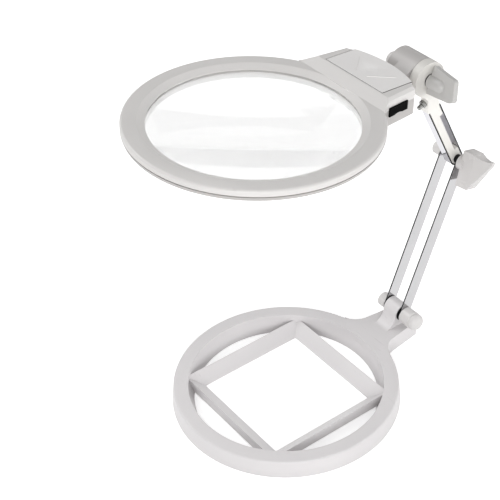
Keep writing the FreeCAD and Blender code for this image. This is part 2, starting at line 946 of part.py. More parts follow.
def upper_end_fitting():
    body = new_body("upper_end_fitting", on_upper_arm)
    half_width = s.channel_width / 2
    half_depth = s.channel_depth / 2
    core_half = half_width - s.channel_gauge - s.core_gap
    core_near = half_depth - s.core_setback
    core_depth = s.channel_depth - s.core_setback - s.channel_gauge

    core = new_sketch(body, "XZ_Plane", core_near)
    outline(core, rounded_strip(core_half, s.channel_length + s.sink))
    pad(body, core, core_depth, backwards=True)
    relief = new_sketch(body, "XZ_Plane", core_near)
    outline(
        relief,
        rectangle(s.core_relief_start, s.core_relief_low, half_width, s.core_relief_high),
    )
    pocket(body, relief, core_depth)
    bolt_hole = new_sketch(body, "XZ_Plane")
    circle(bolt_hole, 0, 0, strip_bore)
    pocket(body, bolt_hole, s.channel_depth, both_ways=True)
    collar = new_sketch(body, "XY_Plane", s.channel_length)
    outline(collar, rectangle(-half_width, -half_depth, half_width, half_depth))
    pad(body, collar, s.collar_length)

    # The stem is flat beside the clamp screw, so that its head and nut have a seat.
    eye_root = s.upper_arm_length - s.eye_root_drop
    eye_middle = -(eye_far + eye_near) / 2
    flat_low = s.clamp_screw_height - s.stem_flat_half_height
    flat_high = s.clamp_screw_height + s.stem_flat_half_height
    stations = [
        (stem_start, half_width, Size(0), s.channel_depth),
        (flat_low, s.stem_half_width, -s.stem_low_offset, s.stem_depth),
        (flat_high, s.stem_half_width, -s.stem_high_offset, s.stem_depth),
        (eye_root, s.eye_root_half_width, eye_middle, s.eye_width),
    ]

    def section(height, half, middle, depth):
        sketch = new_sketch(body, "XY_Plane", height)
        outline(sketch, rectangle(-half, middle - depth / 2, half, middle + depth / 2))
        return sketch

    for lower, upper in zip(stations, stations[1:]):
        loft(body, [section(*lower), section(*upper)])
    root_block = new_sketch(body, "XZ_Plane", eye_far)
    shoulder = s.upper_arm_length - s.eye_shoulder_drop
    outline(
        root_block,
        [
            (-s.eye_root_half_width, eye_root),
            (s.eye_root_half_width, eye_root),
            (s.eye_shoulder_half_width, shoulder),
            (-s.eye_shoulder_half_width, shoulder),
        ],
    )
    pad(body, root_block, s.eye_width)
    eye = new_sketch(body, "XZ_Plane", eye_far)
    circle(eye, 0, s.upper_arm_length, s.eye_radius)
    pad(body, eye, s.eye_width)
    bore = new_sketch(body, "XZ_Plane", eye_far - s.overrun)
    circle(bore, 0, s.upper_arm_length, strip_bore)
    pocket(body, bore, s.eye_width + s.overrun * 2, backwards=True)
    hole = new_sketch(body, "YZ_Plane")
    circle(hole, -clamp_screw_offset, s.clamp_screw_height, s.clamp_screw_radius)
    pocket(body, hole, half_width * 4, both_ways=True)

    screw = new_body("clamp_screw", on_upper_arm)
    shank = new_sketch(screw, "YZ_Plane", -s.stem_half_width - s.clamp_screw_tail)
    circle(shank, -clamp_screw_offset, s.clamp_screw_height, s.clamp_screw_radius)
    pad(screw, shank, s.stem_half_width * 2 + s.clamp_screw_tail)
    head = new_sketch(screw, "YZ_Plane", s.stem_half_width)
    circle(head, -clamp_screw_offset, s.clamp_screw_height, s.clamp_screw_head_radius)
    pad(screw, head, s.clamp_screw_head_height)

    nut = new_body("clamp_nut", on_upper_arm)
    hexagon = new_sketch(nut, "YZ_Plane", -s.stem_half_width - s.clamp_nut_height)
    half = s.clamp_nut_radius / 2
    side = s.clamp_nut_radius * root(Size(3)) / 2
    across = ((s.clamp_nut_radius, 0), (half, side), (-half, side))
    corners = across + tuple((-x, -Size.of(y)) for x, y in across)
    outline(hexagon, [(x - clamp_screw_offset, y + s.clamp_screw_height) for x, y in corners])
    circle(hexagon, -clamp_screw_offset, s.clamp_screw_height, s.clamp_screw_radius)
    pad(nut, hexagon, s.clamp_nut_height)


upper_end_fitting()


# Head joint: barrel, end disc, bolt, washer and the upper wing

top_seat = eye_near + s.top_washer_thickness + s.side_clearance
top_nut_end = top_seat + s.nut_inset + s.nut_length
top_bolt_end = s.barrel_far + s.end_disc_length - s.head_round
plain_bolt("top_bolt", on_head_hinge, s.nut_inset / 2 - top_nut_end, top_bolt_end)
round_head("top_bolt_head", on_head_hinge, s.end_disc_radius, s.barrel_far, s.end_disc_length)
turned(
    "top_washer",
    on_head_hinge,
    rectangle(strip_bore, -eye_near - s.top_washer_thickness, s.top_washer_radius, -eye_near),
)


def top_wing_knob():
    where = (head_pivot, s.top_wing_lean_angle)
    body = new_body("top_wing_knob", where)
    root_out = top_seat + s.top_wing_start
    blade = new_sketch(body, "YZ_Plane")
    outline(
        blade,
        [
            (-root_out, s.top_wing_up),
            (-top_seat - s.top_wing_far_out, s.top_wing_far_up),
            (-top_seat - s.top_wing_tip_out, -s.top_wing_tip_down),
            (-top_seat - s.top_wing_heel_out, -s.top_wing_heel_down),
            (-root_out, -s.top_wing_down),
        ],
    )
    pad(body, blade, s.top_wing_thickness, both_ways=True)
    hub_end = top_seat + s.top_hub_length
    hub = new_sketch(body, "XY_Plane")
    outline(
        hub,
        [
            (0, -top_seat),
            (s.top_hub_radius, -top_seat),
            (s.top_hub_radius, -hub_end, -s.top_hub_radius),
            (0, -hub_end - s.top_hub_radius),
        ],
    )
    revolve(body, hub)
    nut_cavity(body, top_seat, s.top_nut_radius)
    moulded_nut("top_knob_nut", where, top_seat, s.top_nut_radius)


top_wing_knob()

handle_tip = (
    handle_end_reach
    + s.handle_end_radius
    - root(s.handle_end_radius * s.handle_end_radius - s.handle_end_half_width * s.handle_end_half_width)
)


def head_bracket():
    """The barrel, a web that sweeps down from it, and a flanged tongue that the handle's end closes on."""
    body = new_body("head_bracket", on_head)
    axis_x = head_hinge_reach
    axis_z = -s.head_hinge_drop
    barrel = new_sketch(body, "XZ_Plane", s.barrel_near)
    circle(barrel, axis_x, axis_z, s.barrel_radius)
    pad(body, barrel, s.barrel_near + s.barrel_far, backwards=True)
    diagonal = s.barrel_radius / root(Size(2))
    foot = s.web_foot_angle
    web = new_sketch(body, "XZ_Plane", s.web_near)
    outline(
        web,
        [
            (handle_tip, -s.web_toe_drop),
            (axis_x - s.barrel_radius * cos(foot), axis_z - s.barrel_radius * sin(foot)),
            (axis_x, axis_z),
            (axis_x - diagonal, axis_z + diagonal, -s.web_sweep),
            (handle_tip, -s.web_end_drop),
        ],
    )
    pad(body, web, s.web_near + s.web_far, backwards=True)
    tongue = new_sketch(body, "YZ_Plane", handle_tip + s.overrun)
    tongue_top = s.ring_seam_drop + s.tongue_fit
    outline(
        tongue,
        rectangle(-s.tongue_half_width, -s.tongue_bottom_drop, s.tongue_half_width, -tongue_top),
    )
    pad(body, tongue, s.tongue_length + s.overrun, backwards=True)
    flange = new_sketch(body, "YZ_Plane", handle_tip - s.tongue_length)
    outline(
        flange,
        rectangle(
            -s.tongue_flange_half_width,
            -s.tongue_bottom_drop,
            s.tongue_flange_half_width,
            -tongue_top,
        ),
    )
    pad(body, flange, s.tongue_flange_thickness)
    bore = new_sketch(body, "XZ_Plane")
    circle(bore, axis_x, axis_z, s.bolt_radius)
    pocket(body, bore, (s.barrel_near + s.barrel_far) * 2, both_ways=True)


head_bracket()


# Lens head: an upper and a lower shell, each a ring and half of the handle in one moulding

blend_start, blend_foot = blend_points(
    s.head_ring_radius,
    handle_root_reach,
    s.handle_root_half_width,
    handle_end_reach,
    s.handle_end_half_width,
    s.handle_blend_radius,
)
lens_opening = s.head_ring_radius - s.head_ring_face - s.head_ring_chamfer
lens_seat = lens_opening + s.lens_rim_cover


def handle_outline():
    return both_sides(
        [
            (blend_start[0], blend_start[1], s.handle_blend_radius),
            (blend_foot[0], blend_foot[1]),
            (handle_end_reach, s.handle_end_half_width, -s.handle_end_radius),
        ]
    )


wall_run = handle_end_reach - handle_root_reach
wall_rise = s.handle_root_half_width - s.handle_end_half_width
side_slope = -wall_rise / wall_run


def hollow_half_width(reach):
    """Half the handle's inside width at a distance from the ring's middle."""
    return s.handle_root_half_width + (reach - handle_root_reach) * side_slope - s.handle_wall


def hollow_outline(end=None):
    start = handle_hollow_start
    if end is not None:
        return both_sides([(start, hollow_half_width(start)), (end, hollow_half_width(end))])
    corner = handle_end_reach - s.handle_wall
    return both_sides(
        [
            (start, hollow_half_width(start)),
            (corner, hollow_half_width(corner), s.handle_wall - s.handle_end_radius),
        ]
    )


def screw_place(sketch, radius):
    turn = s.shell_screw_start_angle
    circle(sketch, shell_screw_circle * cos(turn), shell_screw_circle * sin(turn), radius)


screw_top = s.head_ring_thickness - s.shell_screw_recess - s.shell_screw_length


def upper_shell():
    body = new_body("upper_shell", on_head)
    outer = s.head_ring_radius
    inner = outer - s.head_ring_face
    lip = s.head_chamfer_drop + s.lens_lip
    ring = new_sketch(body, "XZ_Plane")
    outline(
        ring,
        [
            (outer, -s.ring_seam_drop),
            (outer, -s.head_ring_round, s.head_ring_round),
            (outer - s.head_ring_round, 0),
            (inner, 0),
            (lens_opening, -s.head_chamfer_drop),
            (lens_opening, -lip),
            (lens_seat, -lip),
            (lens_seat, -s.ring_seam_drop),
        ],
    )
    revolve(body, ring)
    handle = new_sketch(body, "XY_Plane", -s.ring_seam_drop)
    outline(handle, handle_outline())
    pad(body, handle, s.ring_seam_drop + s.handle_rise - s.handle_bevel)
    bevel = new_sketch(body, "XY_Plane", s.handle_rise - s.handle_bevel)
    outline(bevel, handle_outline())
    bevelled = pad(body, bevel, s.handle_bevel)
    bind(bevelled, "TaperAngle", -s.handle_bevel_angle)
    ramp = new_sketch(body, "XZ_Plane")
    outline(
        ramp,
        [
            (blend_start[0], 0),
            (handle_ramp_end, s.handle_rise),
            (handle_ramp_end, s.handle_rise + s.overrun),
            (blend_start[0] - s.overrun, s.handle_rise + s.overrun),
            (blend_start[0] - s.overrun, 0),
        ],
    )
    pocket(body, ramp, s.handle_root_half_width * 4, both_ways=True)

    hollow = new_sketch(body, "XY_Plane", -s.ring_seam_drop)
    outline(hollow, hollow_outline())
    pocket(body, hollow, s.ring_seam_drop + s.handle_rise - s.handle_wall, backwards=True)
    opening = new_sketch(body, "XY_Plane", s.handle_rise - s.handle_wall)
    half = s.cover_half_width + s.cover_gap
    outline(opening, rectangle(cover_front - s.cover_gap, -half, handle_tip + s.overrun, half))
    pocket(body, opening, s.handle_wall + s.overrun, backwards=True)
    hole = new_sketch(body, "XY_Plane", -s.ring_seam_drop)
    screw_place(hole, s.shell_screw_radius)
    cut = pocket(body, hole, s.ring_seam_drop - screw_top, backwards=True)
    repeat_round(body, cut, "Z_Axis", s.shell_screw_count)


upper_shell()

wall_length = root(wall_run * wall_run + wall_rise * wall_rise)
wall_along = (wall_run / wall_length, wall_rise / wall_length)
switch_middle_reach = (switch_start + switch_end) / 2


def on_near_wall(along, out):
    """A point by its distances along the handle's near side wall, from the switch's middle, and out of it."""
    run = switch_middle_reach - handle_root_reach
    x = switch_middle_reach + wall_along[0] * along + wall_along[1] * out
    y = -s.handle_root_half_width + run * wall_rise / wall_run + wall_along[1] * along - wall_along[0] * out
    return x, y


def wall_block(sketch, along_from, along_to, out_from, out_to):
    outline(
        sketch,
        [
            on_near_wall(along_from, out_from),
            on_near_wall(along_from, out_to),
            on_near_wall(along_to, out_to),
            on_near_wall(along_to, out_from),
        ],
    )


# Along the hinge axis a cell, its cap and a spring fill the bay between the two contact plates.
bay_half = (s.cell_length + s.cell_cap_length + s.contact_spring_length) / 2


def lower_shell():
    body = new_body("lower_shell", on_head)
    outer = s.head_ring_radius
    bottom = s.head_ring_thickness
    lens_low = s.lens_drop * 2 - s.head_chamfer_drop - s.lens_lip
    seam = s.ring_seam_drop
    ring = new_sketch(body, "XZ_Plane")
    outline(
        ring,
        [
            (lens_seat, -seam),
            (lens_seat, -lens_low),
            (lens_opening, -lens_low),
            (lens_opening, -bottom + s.lens_lip),
            (lens_opening + s.lens_lip, -bottom),
            (outer - s.lower_ring_taper - s.lower_ring_taper, -bottom),
            (outer - s.lower_ring_taper / 2, s.lower_ring_taper - bottom),
            (outer, -seam - s.seam_groove),
            (outer - s.seam_groove_depth, -seam - s.seam_groove),
            (outer - s.seam_groove_depth, -seam),
        ],
    )
    revolve(body, ring)
    side_bottom = s.handle_depth - s.handle_lower_bevel
    handle = new_sketch(body, "XY_Plane", -seam)
    outline(handle, handle_outline())
    pad(body, handle, side_bottom - seam, backwards=True)
    bevel = new_sketch(body, "XY_Plane", -side_bottom)
    outline(bevel, handle_outline())
    bevelled = pad(body, bevel, s.handle_lower_bevel, backwards=True)
    bind(bevelled, "TaperAngle", -s.handle_bevel_angle)
    start = blend_start[0]
    deep = s.handle_depth + s.overrun
    front = new_sketch(body, "XZ_Plane")
    outline(
        front,
        [
            (start, -bottom),
            (start - s.overrun, -bottom),
            (start - s.overrun, -deep),
            (start + s.handle_front_slope, -deep),
            (start + s.handle_front_slope, -s.handle_depth),
        ],
    )
    pocket(body, front, s.handle_root_half_width * 4, both_ways=True)
    tail = new_sketch(body, "XZ_Plane")
    outline(
        tail,
        [
            (handle_tip - s.handle_tail_length, -s.handle_depth),
            (handle_tip - s.handle_tail_length, -deep),
            (handle_tip + s.overrun, -deep),
            (handle_tip + s.overrun, s.handle_tail_rise - s.handle_depth),
            (handle_tip, s.handle_tail_rise - s.handle_depth),
        ],
    )
    pocket(body, tail, s.handle_root_half_width * 4, both_ways=True)
    shelf = new_sketch(body, "XY_Plane", -seam)
    outline(shelf, hollow_outline())
    pocket(body, shelf, s.handle_shelf_drop - seam)
    well = new_sketch(body, "XY_Plane", -seam)
    outline(well, hollow_outline(handle_well_end))
    well_floor = s.handle_depth - s.handle_wall
    pocket(body, well, well_floor - seam)

    # Cradle ribs carry the cells, and the two end ribs carry the contacts.
    cell_bottom = s.cell_drop + s.cell_radius

    def bay_rib(offset, thickness, top_drop, end):
        rib = new_sketch(body, "XZ_Plane", offset)
        outline(
            rib,
            [
                (handle_hollow_start + s.handle_wall, -top_drop),
                (handle_hollow_start + s.handle_wall, -well_floor - s.sink),
                (handle_well_end, -well_floor - s.sink),
                (handle_well_end, -s.handle_shelf_drop - s.sink),
                (end, -s.handle_shelf_drop - s.sink),
                (end, -top_drop),
            ],
        )
        pad(body, rib, thickness, both_ways=True)

    end_offset = bay_half + s.contact_thickness + s.end_rib_thickness / 2
    for side in (1, -1):
        bay_rib(
            s.cradle_spacing / 2 * side, s.cradle_thickness, cell_bottom, handle_tip - s.handle_wall * 2
        )
        bay_rib(
            end_offset * side, s.end_rib_thickness, s.end_rib_drop, handle_end_reach - s.handle_wall
        )

    half_stem = s.switch_stem_length / 2 + s.side_clearance
    slot = new_sketch(body, "XY_Plane", s.switch_stem_height / 2 + s.side_clearance - s.switch_stem_drop)
    wall_block(slot, -half_stem, half_stem + s.switch_travel, -s.handle_wall - s.overrun, s.overrun)
    pocket(body, slot, s.switch_stem_height + s.side_clearance * 2)
    for side in (1, -1):
        lamp = new_sketch(body, "YZ_Plane", handle_hollow_start + s.overrun)
        circle(lamp, s.led_spacing / 2 * side, -s.led_drop, s.led_radius + s.pin_clearance)
        pocket(body, lamp, handle_hollow_start + s.overrun - blend_start[0] + s.overrun)
    mouth = new_sketch(body, "YZ_Plane", handle_tip + s.overrun)
    edge = s.tongue_half_width + s.tongue_fit
    outline(mouth, rectangle(-edge, -s.tongue_bottom_drop - s.tongue_fit, edge, s.overrun - seam))
    pocket(body, mouth, s.handle_wall * 2 + s.overrun)
    head_hole = new_sketch(body, "XY_Plane", -bottom)
    screw_place(head_hole, s.shell_screw_head_radius)
    recess = pocket(body, head_hole, s.shell_screw_recess + s.shell_screw_head_height, backwards=True)
    repeat_round(body, recess, "Z_Axis", s.shell_screw_count)
    shank_hole = new_sketch(body, "XY_Plane", -bottom)
    screw_place(shank_hole, s.shell_screw_radius)
    shank = pocket(body, shank_hole, bottom - seam + s.overrun, backwards=True)
    repeat_round(body, shank, "Z_Axis", s.shell_screw_count)


lower_shell()


def shell_screws():
    body = new_body("shell_screws", on_head)
    seat = s.head_ring_thickness - s.shell_screw_recess
    head = new_sketch(body, "XY_Plane", -seat)
    screw_place(head, s.shell_screw_head_radius)
    head_pad = pad(body, head, s.shell_screw_head_height)
    repeat_round(body, head_pad, "Z_Axis", s.shell_screw_count)
    shank = new_sketch(body, "XY_Plane", -seat)
    screw_place(shank, s.shell_screw_radius)
    shank_pad = pad(body, shank, s.shell_screw_length)
    repeat_round(body, shank_pad, "Z_Axis", s.shell_screw_count)


shell_screws()


# Lens: clear acrylic, curved alike on both faces, with a small stronger spot moulded under its handle side

def main_lens():
    body = new_body("main_lens", on_head)
    lens_radius = lens_seat - s.lens_fit
    half_middle = s.lens_thickness / 2
    half_edge = s.lens_edge / 2
    sag = half_middle - half_edge
    curve = (lens_radius * lens_radius + sag * sag) / (sag * 2)
    section = new_sketch(body, "XZ_Plane")
    outline(
        section,
        [
            (0, -s.lens_drop - half_middle, curve),
            (lens_radius, -s.lens_drop - half_edge),
            (lens_radius, half_edge - s.lens_drop, curve),
            (0, half_middle - s.lens_drop),
        ],
    )
    revolve(body, section)
    spot_curve = (s.spot_radius * s.spot_radius + s.spot_height * s.spot_height) / (s.spot_height * 2)
    spot_sag = s.spot_reach * s.spot_reach / (curve * 2)
    spot = new_sketch(body, "XZ_Plane")
    lean = math.degrees(math.asin(s.spot_reach.value / curve.value))
    spot.AttachmentOffset = FreeCAD.Placement(
        FreeCAD.Vector(s.spot_reach.value, spot_sag.value - s.lens_drop.value - half_middle.value, 0),
        FreeCAD.Rotation(FreeCAD.Vector(0, 0, 1), lean),
    )
    bind(spot, "AttachmentOffset.Base.x", s.spot_reach)
    bind(spot, "AttachmentOffset.Base.y", spot_sag - s.lens_drop - half_middle)
    spot.setExpression("AttachmentOffset.Rotation.Angle", f"asin({(s.spot_reach / curve).formula})")
    inside = s.spot_height * 2
    outline(
        spot,
        [
            (0, inside),
            (0, -s.spot_height, spot_curve),
            (s.spot_radius, 0),
            (s.spot_radius, inside),
        ],
    )
    revolve(body, spot)


main_lens()


# Battery cover: slides out over the handle's end, with hooks under the shell's front edge

def battery_cover():
    body = new_body("battery_cover", on_head)
    half = s.cover_half_width
    end_x = (
        handle_tip
        - s.handle_end_radius
        + root(s.handle_end_radius * s.handle_end_radius - half * half)
    )
    low = s.handle_rise - s.handle_wall + s.cover_gap
    plate = new_sketch(body, "XY_Plane", low)
    outline(plate, both_sides([(cover_front, half), (end_x, half, -s.handle_end_radius)]))
    pad(body, plate, s.handle_wall - s.cover_gap)
    hook_top = s.handle_rise - s.handle_wall - s.cover_gap
    hook_low = hook_top - s.cover_hook_thickness
    for step in (-1, 0, 1):
        hook = new_sketch(body, "XZ_Plane", s.cover_hook_spacing * step)
        outline(
            hook,
            [
                (cover_front - s.cover_hook_length, hook_low),
                (cover_front + s.cover_hook_root, hook_low),
                (cover_front + s.cover_hook_root, low + s.cover_gap),
                (cover_front, low + s.cover_gap),
                (cover_front, hook_top),
                (cover_front - s.cover_hook_length, hook_top),
            ],
        )
        pad(body, hook, s.cover_hook_width, both_ways=True)
    dimple = new_sketch(body, "XZ_Plane")
    bind(dimple, "AttachmentOffset.Base.x", dimple_reach)
    curve = (s.dimple_radius * s.dimple_radius + s.dimple_depth * s.dimple_depth) / (s.dimple_depth * 2)
    outline(
        dimple,
        [
            (0, s.handle_rise - s.dimple_depth, curve),
            (s.dimple_radius, s.handle_rise),
            (s.dimple_radius, s.handle_rise + s.overrun),
            (0, s.handle_rise + s.overrun),
        ],
    )
    revolve(body, dimple, "PartDesign::Groove")
    for side in (1, -1):
        ridge = new_sketch(body, "XY_Plane", s.handle_rise - s.arch_height)
        outline(
            ridge,
            [
                (arch_foot_reach, s.arch_foot_half_width * side),
                (arch_top_reach, s.arch_top_half_width * side),
                (arch_top_reach, (s.arch_top_half_width + s.arch_width) * side),
                (arch_foot_reach, (s.arch_foot_half_width + s.arch_width) * side),
            ],
        )
        pad(body, ridge, s.arch_height * 2)


battery_cover()


# Batteries and their contacts: two small cells side by side, head to tail

def battery(label, number):
    body = new_body(label, on_head)
    side = 1 if number == 0 else -1
    reach = cell_first_reach + s.cell_spacing * number
    cap_end = bay_half * side
    can_end = cap_end - s.cell_cap_length * side
    far_end = can_end - s.cell_length * side
    section = new_sketch(body, "XY_Plane", -s.cell_drop)
    bind(section, "AttachmentOffset.Base.x", reach)
    outline(
        section,
        [
            (0, far_end),
            (s.cell_radius, far_end),
            (s.cell_radius, can_end),
            (s.cell_cap_radius, can_end),
            (s.cell_cap_radius, cap_end),
            (0, cap_end),
        ],
    )
    revolve(body, section)


battery("battery_first", 0)
battery("battery_second", 1)


def contacts():
    plates = new_body("contact_plates", on_head)
    half = s.contact_size / 2
    for number in (0, 1):
        reach = cell_first_reach + s.cell_spacing * number
        for side in (1, -1):
            sketch = new_sketch(plates, "XZ_Plane", bay_half * side)
            outline(
                sketch, rectangle(reach - half, -s.cell_drop - half, reach + half, half - s.cell_drop)
            )
            pad(plates, sketch, s.contact_thickness, backwards=side < 0)


contacts()


def contact_spring(label, number):
    """A short coil between a cell's flat end and its contact plate."""
    body = new_body(label, on_head)
    side = -1 if number == 0 else 1
    reach = cell_first_reach + s.cell_spacing * number
    wire = new_sketch(body, "XY_Plane", -s.cell_drop)
    start = bay_half - s.contact_spring_length + s.contact_wire_radius
    bind(wire, "AttachmentOffset.Base.x", reach)
    circle(wire, s.contact_spring_radius, start * side, s.contact_wire_radius)
    coil = body.newObject("PartDesign::AdditiveHelix", label + "_coil")
    coil.Profile = wire
    coil.ReferenceAxis = (wire, ["V_Axis"])
    coil.Mode = "height-turns-angle"
    coil.Reversed = side < 0
    bind(coil, "Height", s.contact_spring_length - s.contact_wire_radius * 2)
    bind(coil, "Turns", s.contact_spring_turns)


contact_spring("contact_spring_first", 0)
contact_spring("contact_spring_second", 1)


# Switch: a black slider outside the near wall, its stem through the slot, and the switch body behind

def switch():
    slider = new_body("switch_slider", on_head)
    half_length = (switch_end - switch_start) / 2 / wall_along[0]
    cap = new_sketch(slider, "XY_Plane", -s.switch_bottom_drop)
    wall_block(cap, -half_length, half_length, s.side_clearance, s.switch_proud)
    pad(slider, cap, s.switch_bottom_drop - s.switch_top_drop)
    half_stem = s.switch_stem_length / 2
    stem = new_sketch(slider, "XY_Plane", -s.switch_stem_drop - s.switch_stem_height / 2)
    reach_in = s.handle_wall + s.side_clearance * 2
    wall_block(stem, -half_stem, half_stem, -reach_in, s.switch_proud / 2)
    pad(slider, stem, s.switch_stem_height)
    scoop = new_sketch(slider, "XZ_Plane")
    dip = s.switch_scoop_radius - s.switch_scoop_depth
    circle(scoop, switch_middle_reach, -s.switch_bottom_drop - dip, s.switch_scoop_radius)
    pocket(slider, scoop, s.handle_root_half_width * 4, both_ways=True)

    body = new_body("switch_body", on_head)
    block = new_sketch(body, "XY_Plane", -s.switch_stem_drop - s.switch_body_height / 2)
    face = reach_in + s.side_clearance
    half_body = s.switch_body_length / 2
    wall_block(block, -half_body, half_body, -face - s.switch_body_depth, -face)
    pad(body, block, s.switch_body_height)


switch()


# Lamp: a small board behind the handle's front wall and two round lamps that look under the lens

def lamp():
    board = new_body("led_board", on_head)
    flat = new_sketch(board, "YZ_Plane", handle_hollow_start)
    half = s.board_width / 2
    outline(
        flat,
        rectangle(-half, -s.led_drop - s.board_height / 2, half, s.board_height / 2 - s.led_drop),
    )
    pad(board, flat, s.board_thickness)
    leds = new_body("leds", on_head)
    dome = s.led_radius
    for side in (1, -1):
        base = new_sketch(leds, "YZ_Plane", handle_hollow_start)
        circle(base, s.led_spacing / 2 * side, -s.led_drop, dome)
        pad(leds, base, s.led_length, backwards=True)


lamp()


doc.recompute()
for item in doc.Objects:
    if "Invalid" in item.State or "Error" in item.State:
        raise RuntimeError(f"{item.Name} could not be built")
for piece in pieces:
    if piece.Shape.isNull() or not piece.Shape.isValid():
        raise RuntimeError(f"{piece.Label} has no valid shape")

os.makedirs("parts", exist_ok=True)
for piece in pieces:
    piece.Shape.exportStep(f"parts/{piece.Label}.step")
    print(piece.Label, len(piece.Shape.Solids), round(piece.Shape.Volume))
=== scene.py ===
import json
import math

import bmesh
import bpy
import numpy as np
from mathutils import Matrix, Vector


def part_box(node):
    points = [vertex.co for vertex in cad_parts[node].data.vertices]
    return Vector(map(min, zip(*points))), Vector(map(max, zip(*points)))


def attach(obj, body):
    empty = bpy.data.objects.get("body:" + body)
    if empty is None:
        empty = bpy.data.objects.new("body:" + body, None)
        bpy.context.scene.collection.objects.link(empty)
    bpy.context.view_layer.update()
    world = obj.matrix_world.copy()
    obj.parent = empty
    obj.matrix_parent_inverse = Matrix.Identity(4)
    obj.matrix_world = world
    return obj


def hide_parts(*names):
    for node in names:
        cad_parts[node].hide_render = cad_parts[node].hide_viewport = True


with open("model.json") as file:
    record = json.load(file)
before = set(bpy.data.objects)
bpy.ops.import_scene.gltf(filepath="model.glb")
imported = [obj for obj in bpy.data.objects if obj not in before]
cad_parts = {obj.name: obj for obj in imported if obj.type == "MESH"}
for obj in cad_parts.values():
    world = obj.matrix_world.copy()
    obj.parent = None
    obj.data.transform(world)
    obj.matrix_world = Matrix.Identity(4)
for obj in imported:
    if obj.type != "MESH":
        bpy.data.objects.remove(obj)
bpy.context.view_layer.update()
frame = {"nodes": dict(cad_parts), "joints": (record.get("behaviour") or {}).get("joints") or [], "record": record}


# Camera. It stands in front of the lens side, raised and turned, as the photograph was taken, and its lens is
# as long as the picture's small perspective asks for.

CAMERA_TURN = math.radians(-35.48)
CAMERA_RISE = math.radians(37.87)
CAMERA_ROLL = math.radians(-2.31)
CAMERA_DISTANCE = 0.94105
CAMERA_SIDE = -0.02584
CAMERA_HEIGHT = 0.10187
CAMERA_LENS_MM = 94.67
SENSOR_MM = 36.0
NEAREST_SEEN = 0.05
FURTHEST_SEEN = 20.0

base_low, base_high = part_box("base_frame")
base_foot_radius = (base_high.y - base_low.y) / 2
base_centre_x = base_low.x + base_foot_radius

away = np.array(
    [
        math.sin(CAMERA_TURN) * math.cos(CAMERA_RISE),
        -math.cos(CAMERA_TURN) * math.cos(CAMERA_RISE),
        math.sin(CAMERA_RISE),
    ]
)
level = np.array([math.cos(CAMERA_TURN), math.sin(CAMERA_TURN), 0.0])
upward = np.cross(away, level)
camera_right = math.cos(CAMERA_ROLL) * level + math.sin(CAMERA_ROLL) * upward
camera_up = math.cos(CAMERA_ROLL) * upward - math.sin(CAMERA_ROLL) * level
camera_place = camera_right * CAMERA_SIDE + camera_up * CAMERA_HEIGHT + away * CAMERA_DISTANCE
camera_place[0] += base_centre_x

camera = bpy.data.objects.new("camera", bpy.data.cameras.new("camera"))
camera.data.sensor_width = SENSOR_MM
camera.data.lens = CAMERA_LENS_MM
camera.data.clip_start = NEAREST_SEEN
camera.data.clip_end = FURTHEST_SEEN
camera.matrix_world = Matrix(
    [[camera_right[row], camera_up[row], away[row], camera_place[row]] for row in range(3)] + [[0, 0, 0, 1]]
)
bpy.context.scene.collection.objects.link(camera)
bpy.context.scene.camera = camera
bpy.context.scene.view_settings.view_transform = "Standard"


# Studio. A pale floor that keeps a soft shadow, a white surround that the chrome and the lens also see, and a
# grey canopy that holds light off the tops. Dark cards give the chrome and the lens something to mirror, and
# three broad lamps light the object.

FLOOR_HALF = 3.0
FLOOR_WHITE = (0.93, 0.93, 0.93, 1.0)
FLOOR_LIFT = 0.42
FLOOR_GLOSS = 0.1
STUDIO_ROUGHNESS = 0.9
SURROUND_LIGHT = 0.62
# Each lamp: where it hangs, the half side of its square panel, and its power in watts.
LAMPS = {
    "lamp_key": ((-1.0, -1.15, 0.6), 0.3, 10.5),
    "lamp_fill": ((0.9, -1.2, 0.45), 0.35, 5.5),
    "lamp_back": ((-0.3, 1.0, 1.15), 0.4, 6.3),
}
# Each card: its middle, its half width and half height, and its grey.
CARDS = {
    "card_left": ((-1.05, 0.75, 0.14), 0.3, 0.14, 0.05),
    "card_right": ((1.15, 0.75, 0.2), 0.3, 0.2, 0.08),
    "card_above": ((0.973, 1.367, 1.07), 0.42, 0.26, 0.02),
}
CANOPY_HEIGHT = 1.5
CANOPY_HALF = 0.9
CANOPY_GREY = 0.3


class Shade:
    """A socket of a material. Arithmetic on it adds Math nodes."""

    def __init__(self, finish, socket):
        self.finish = finish
        self.socket = socket

    def maths(self, operation, *terms):
        return self.finish.node("ShaderNodeMath", {"operation": operation}, dict(enumerate(terms)))

    def __add__(self, other):
        return self.maths("ADD", self, other)

    def __radd__(self, other):
        return self.maths("ADD", other, self)

    def __sub__(self, other):
        return self.maths("SUBTRACT", self, other)

    def __rsub__(self, other):
        return self.maths("SUBTRACT", other, self)

    def __mul__(self, other):
        return self.maths("MULTIPLY", self, other)

    def __rmul__(self, other):
        return self.maths("MULTIPLY", other, self)

    def __truediv__(self, other):
        return self.maths("DIVIDE", self, other)

    def at_least(self, other):
        return self.maths("MAXIMUM", self, other)

    def at_most(self, other):
        return self.maths("MINIMUM", self, other)

    def ramp(self, low, high):
        """0 up to low, 1 from high, and an even rise between them."""
        return ((self - low) / (high - low)).at_least(0.0).at_most(1.0)


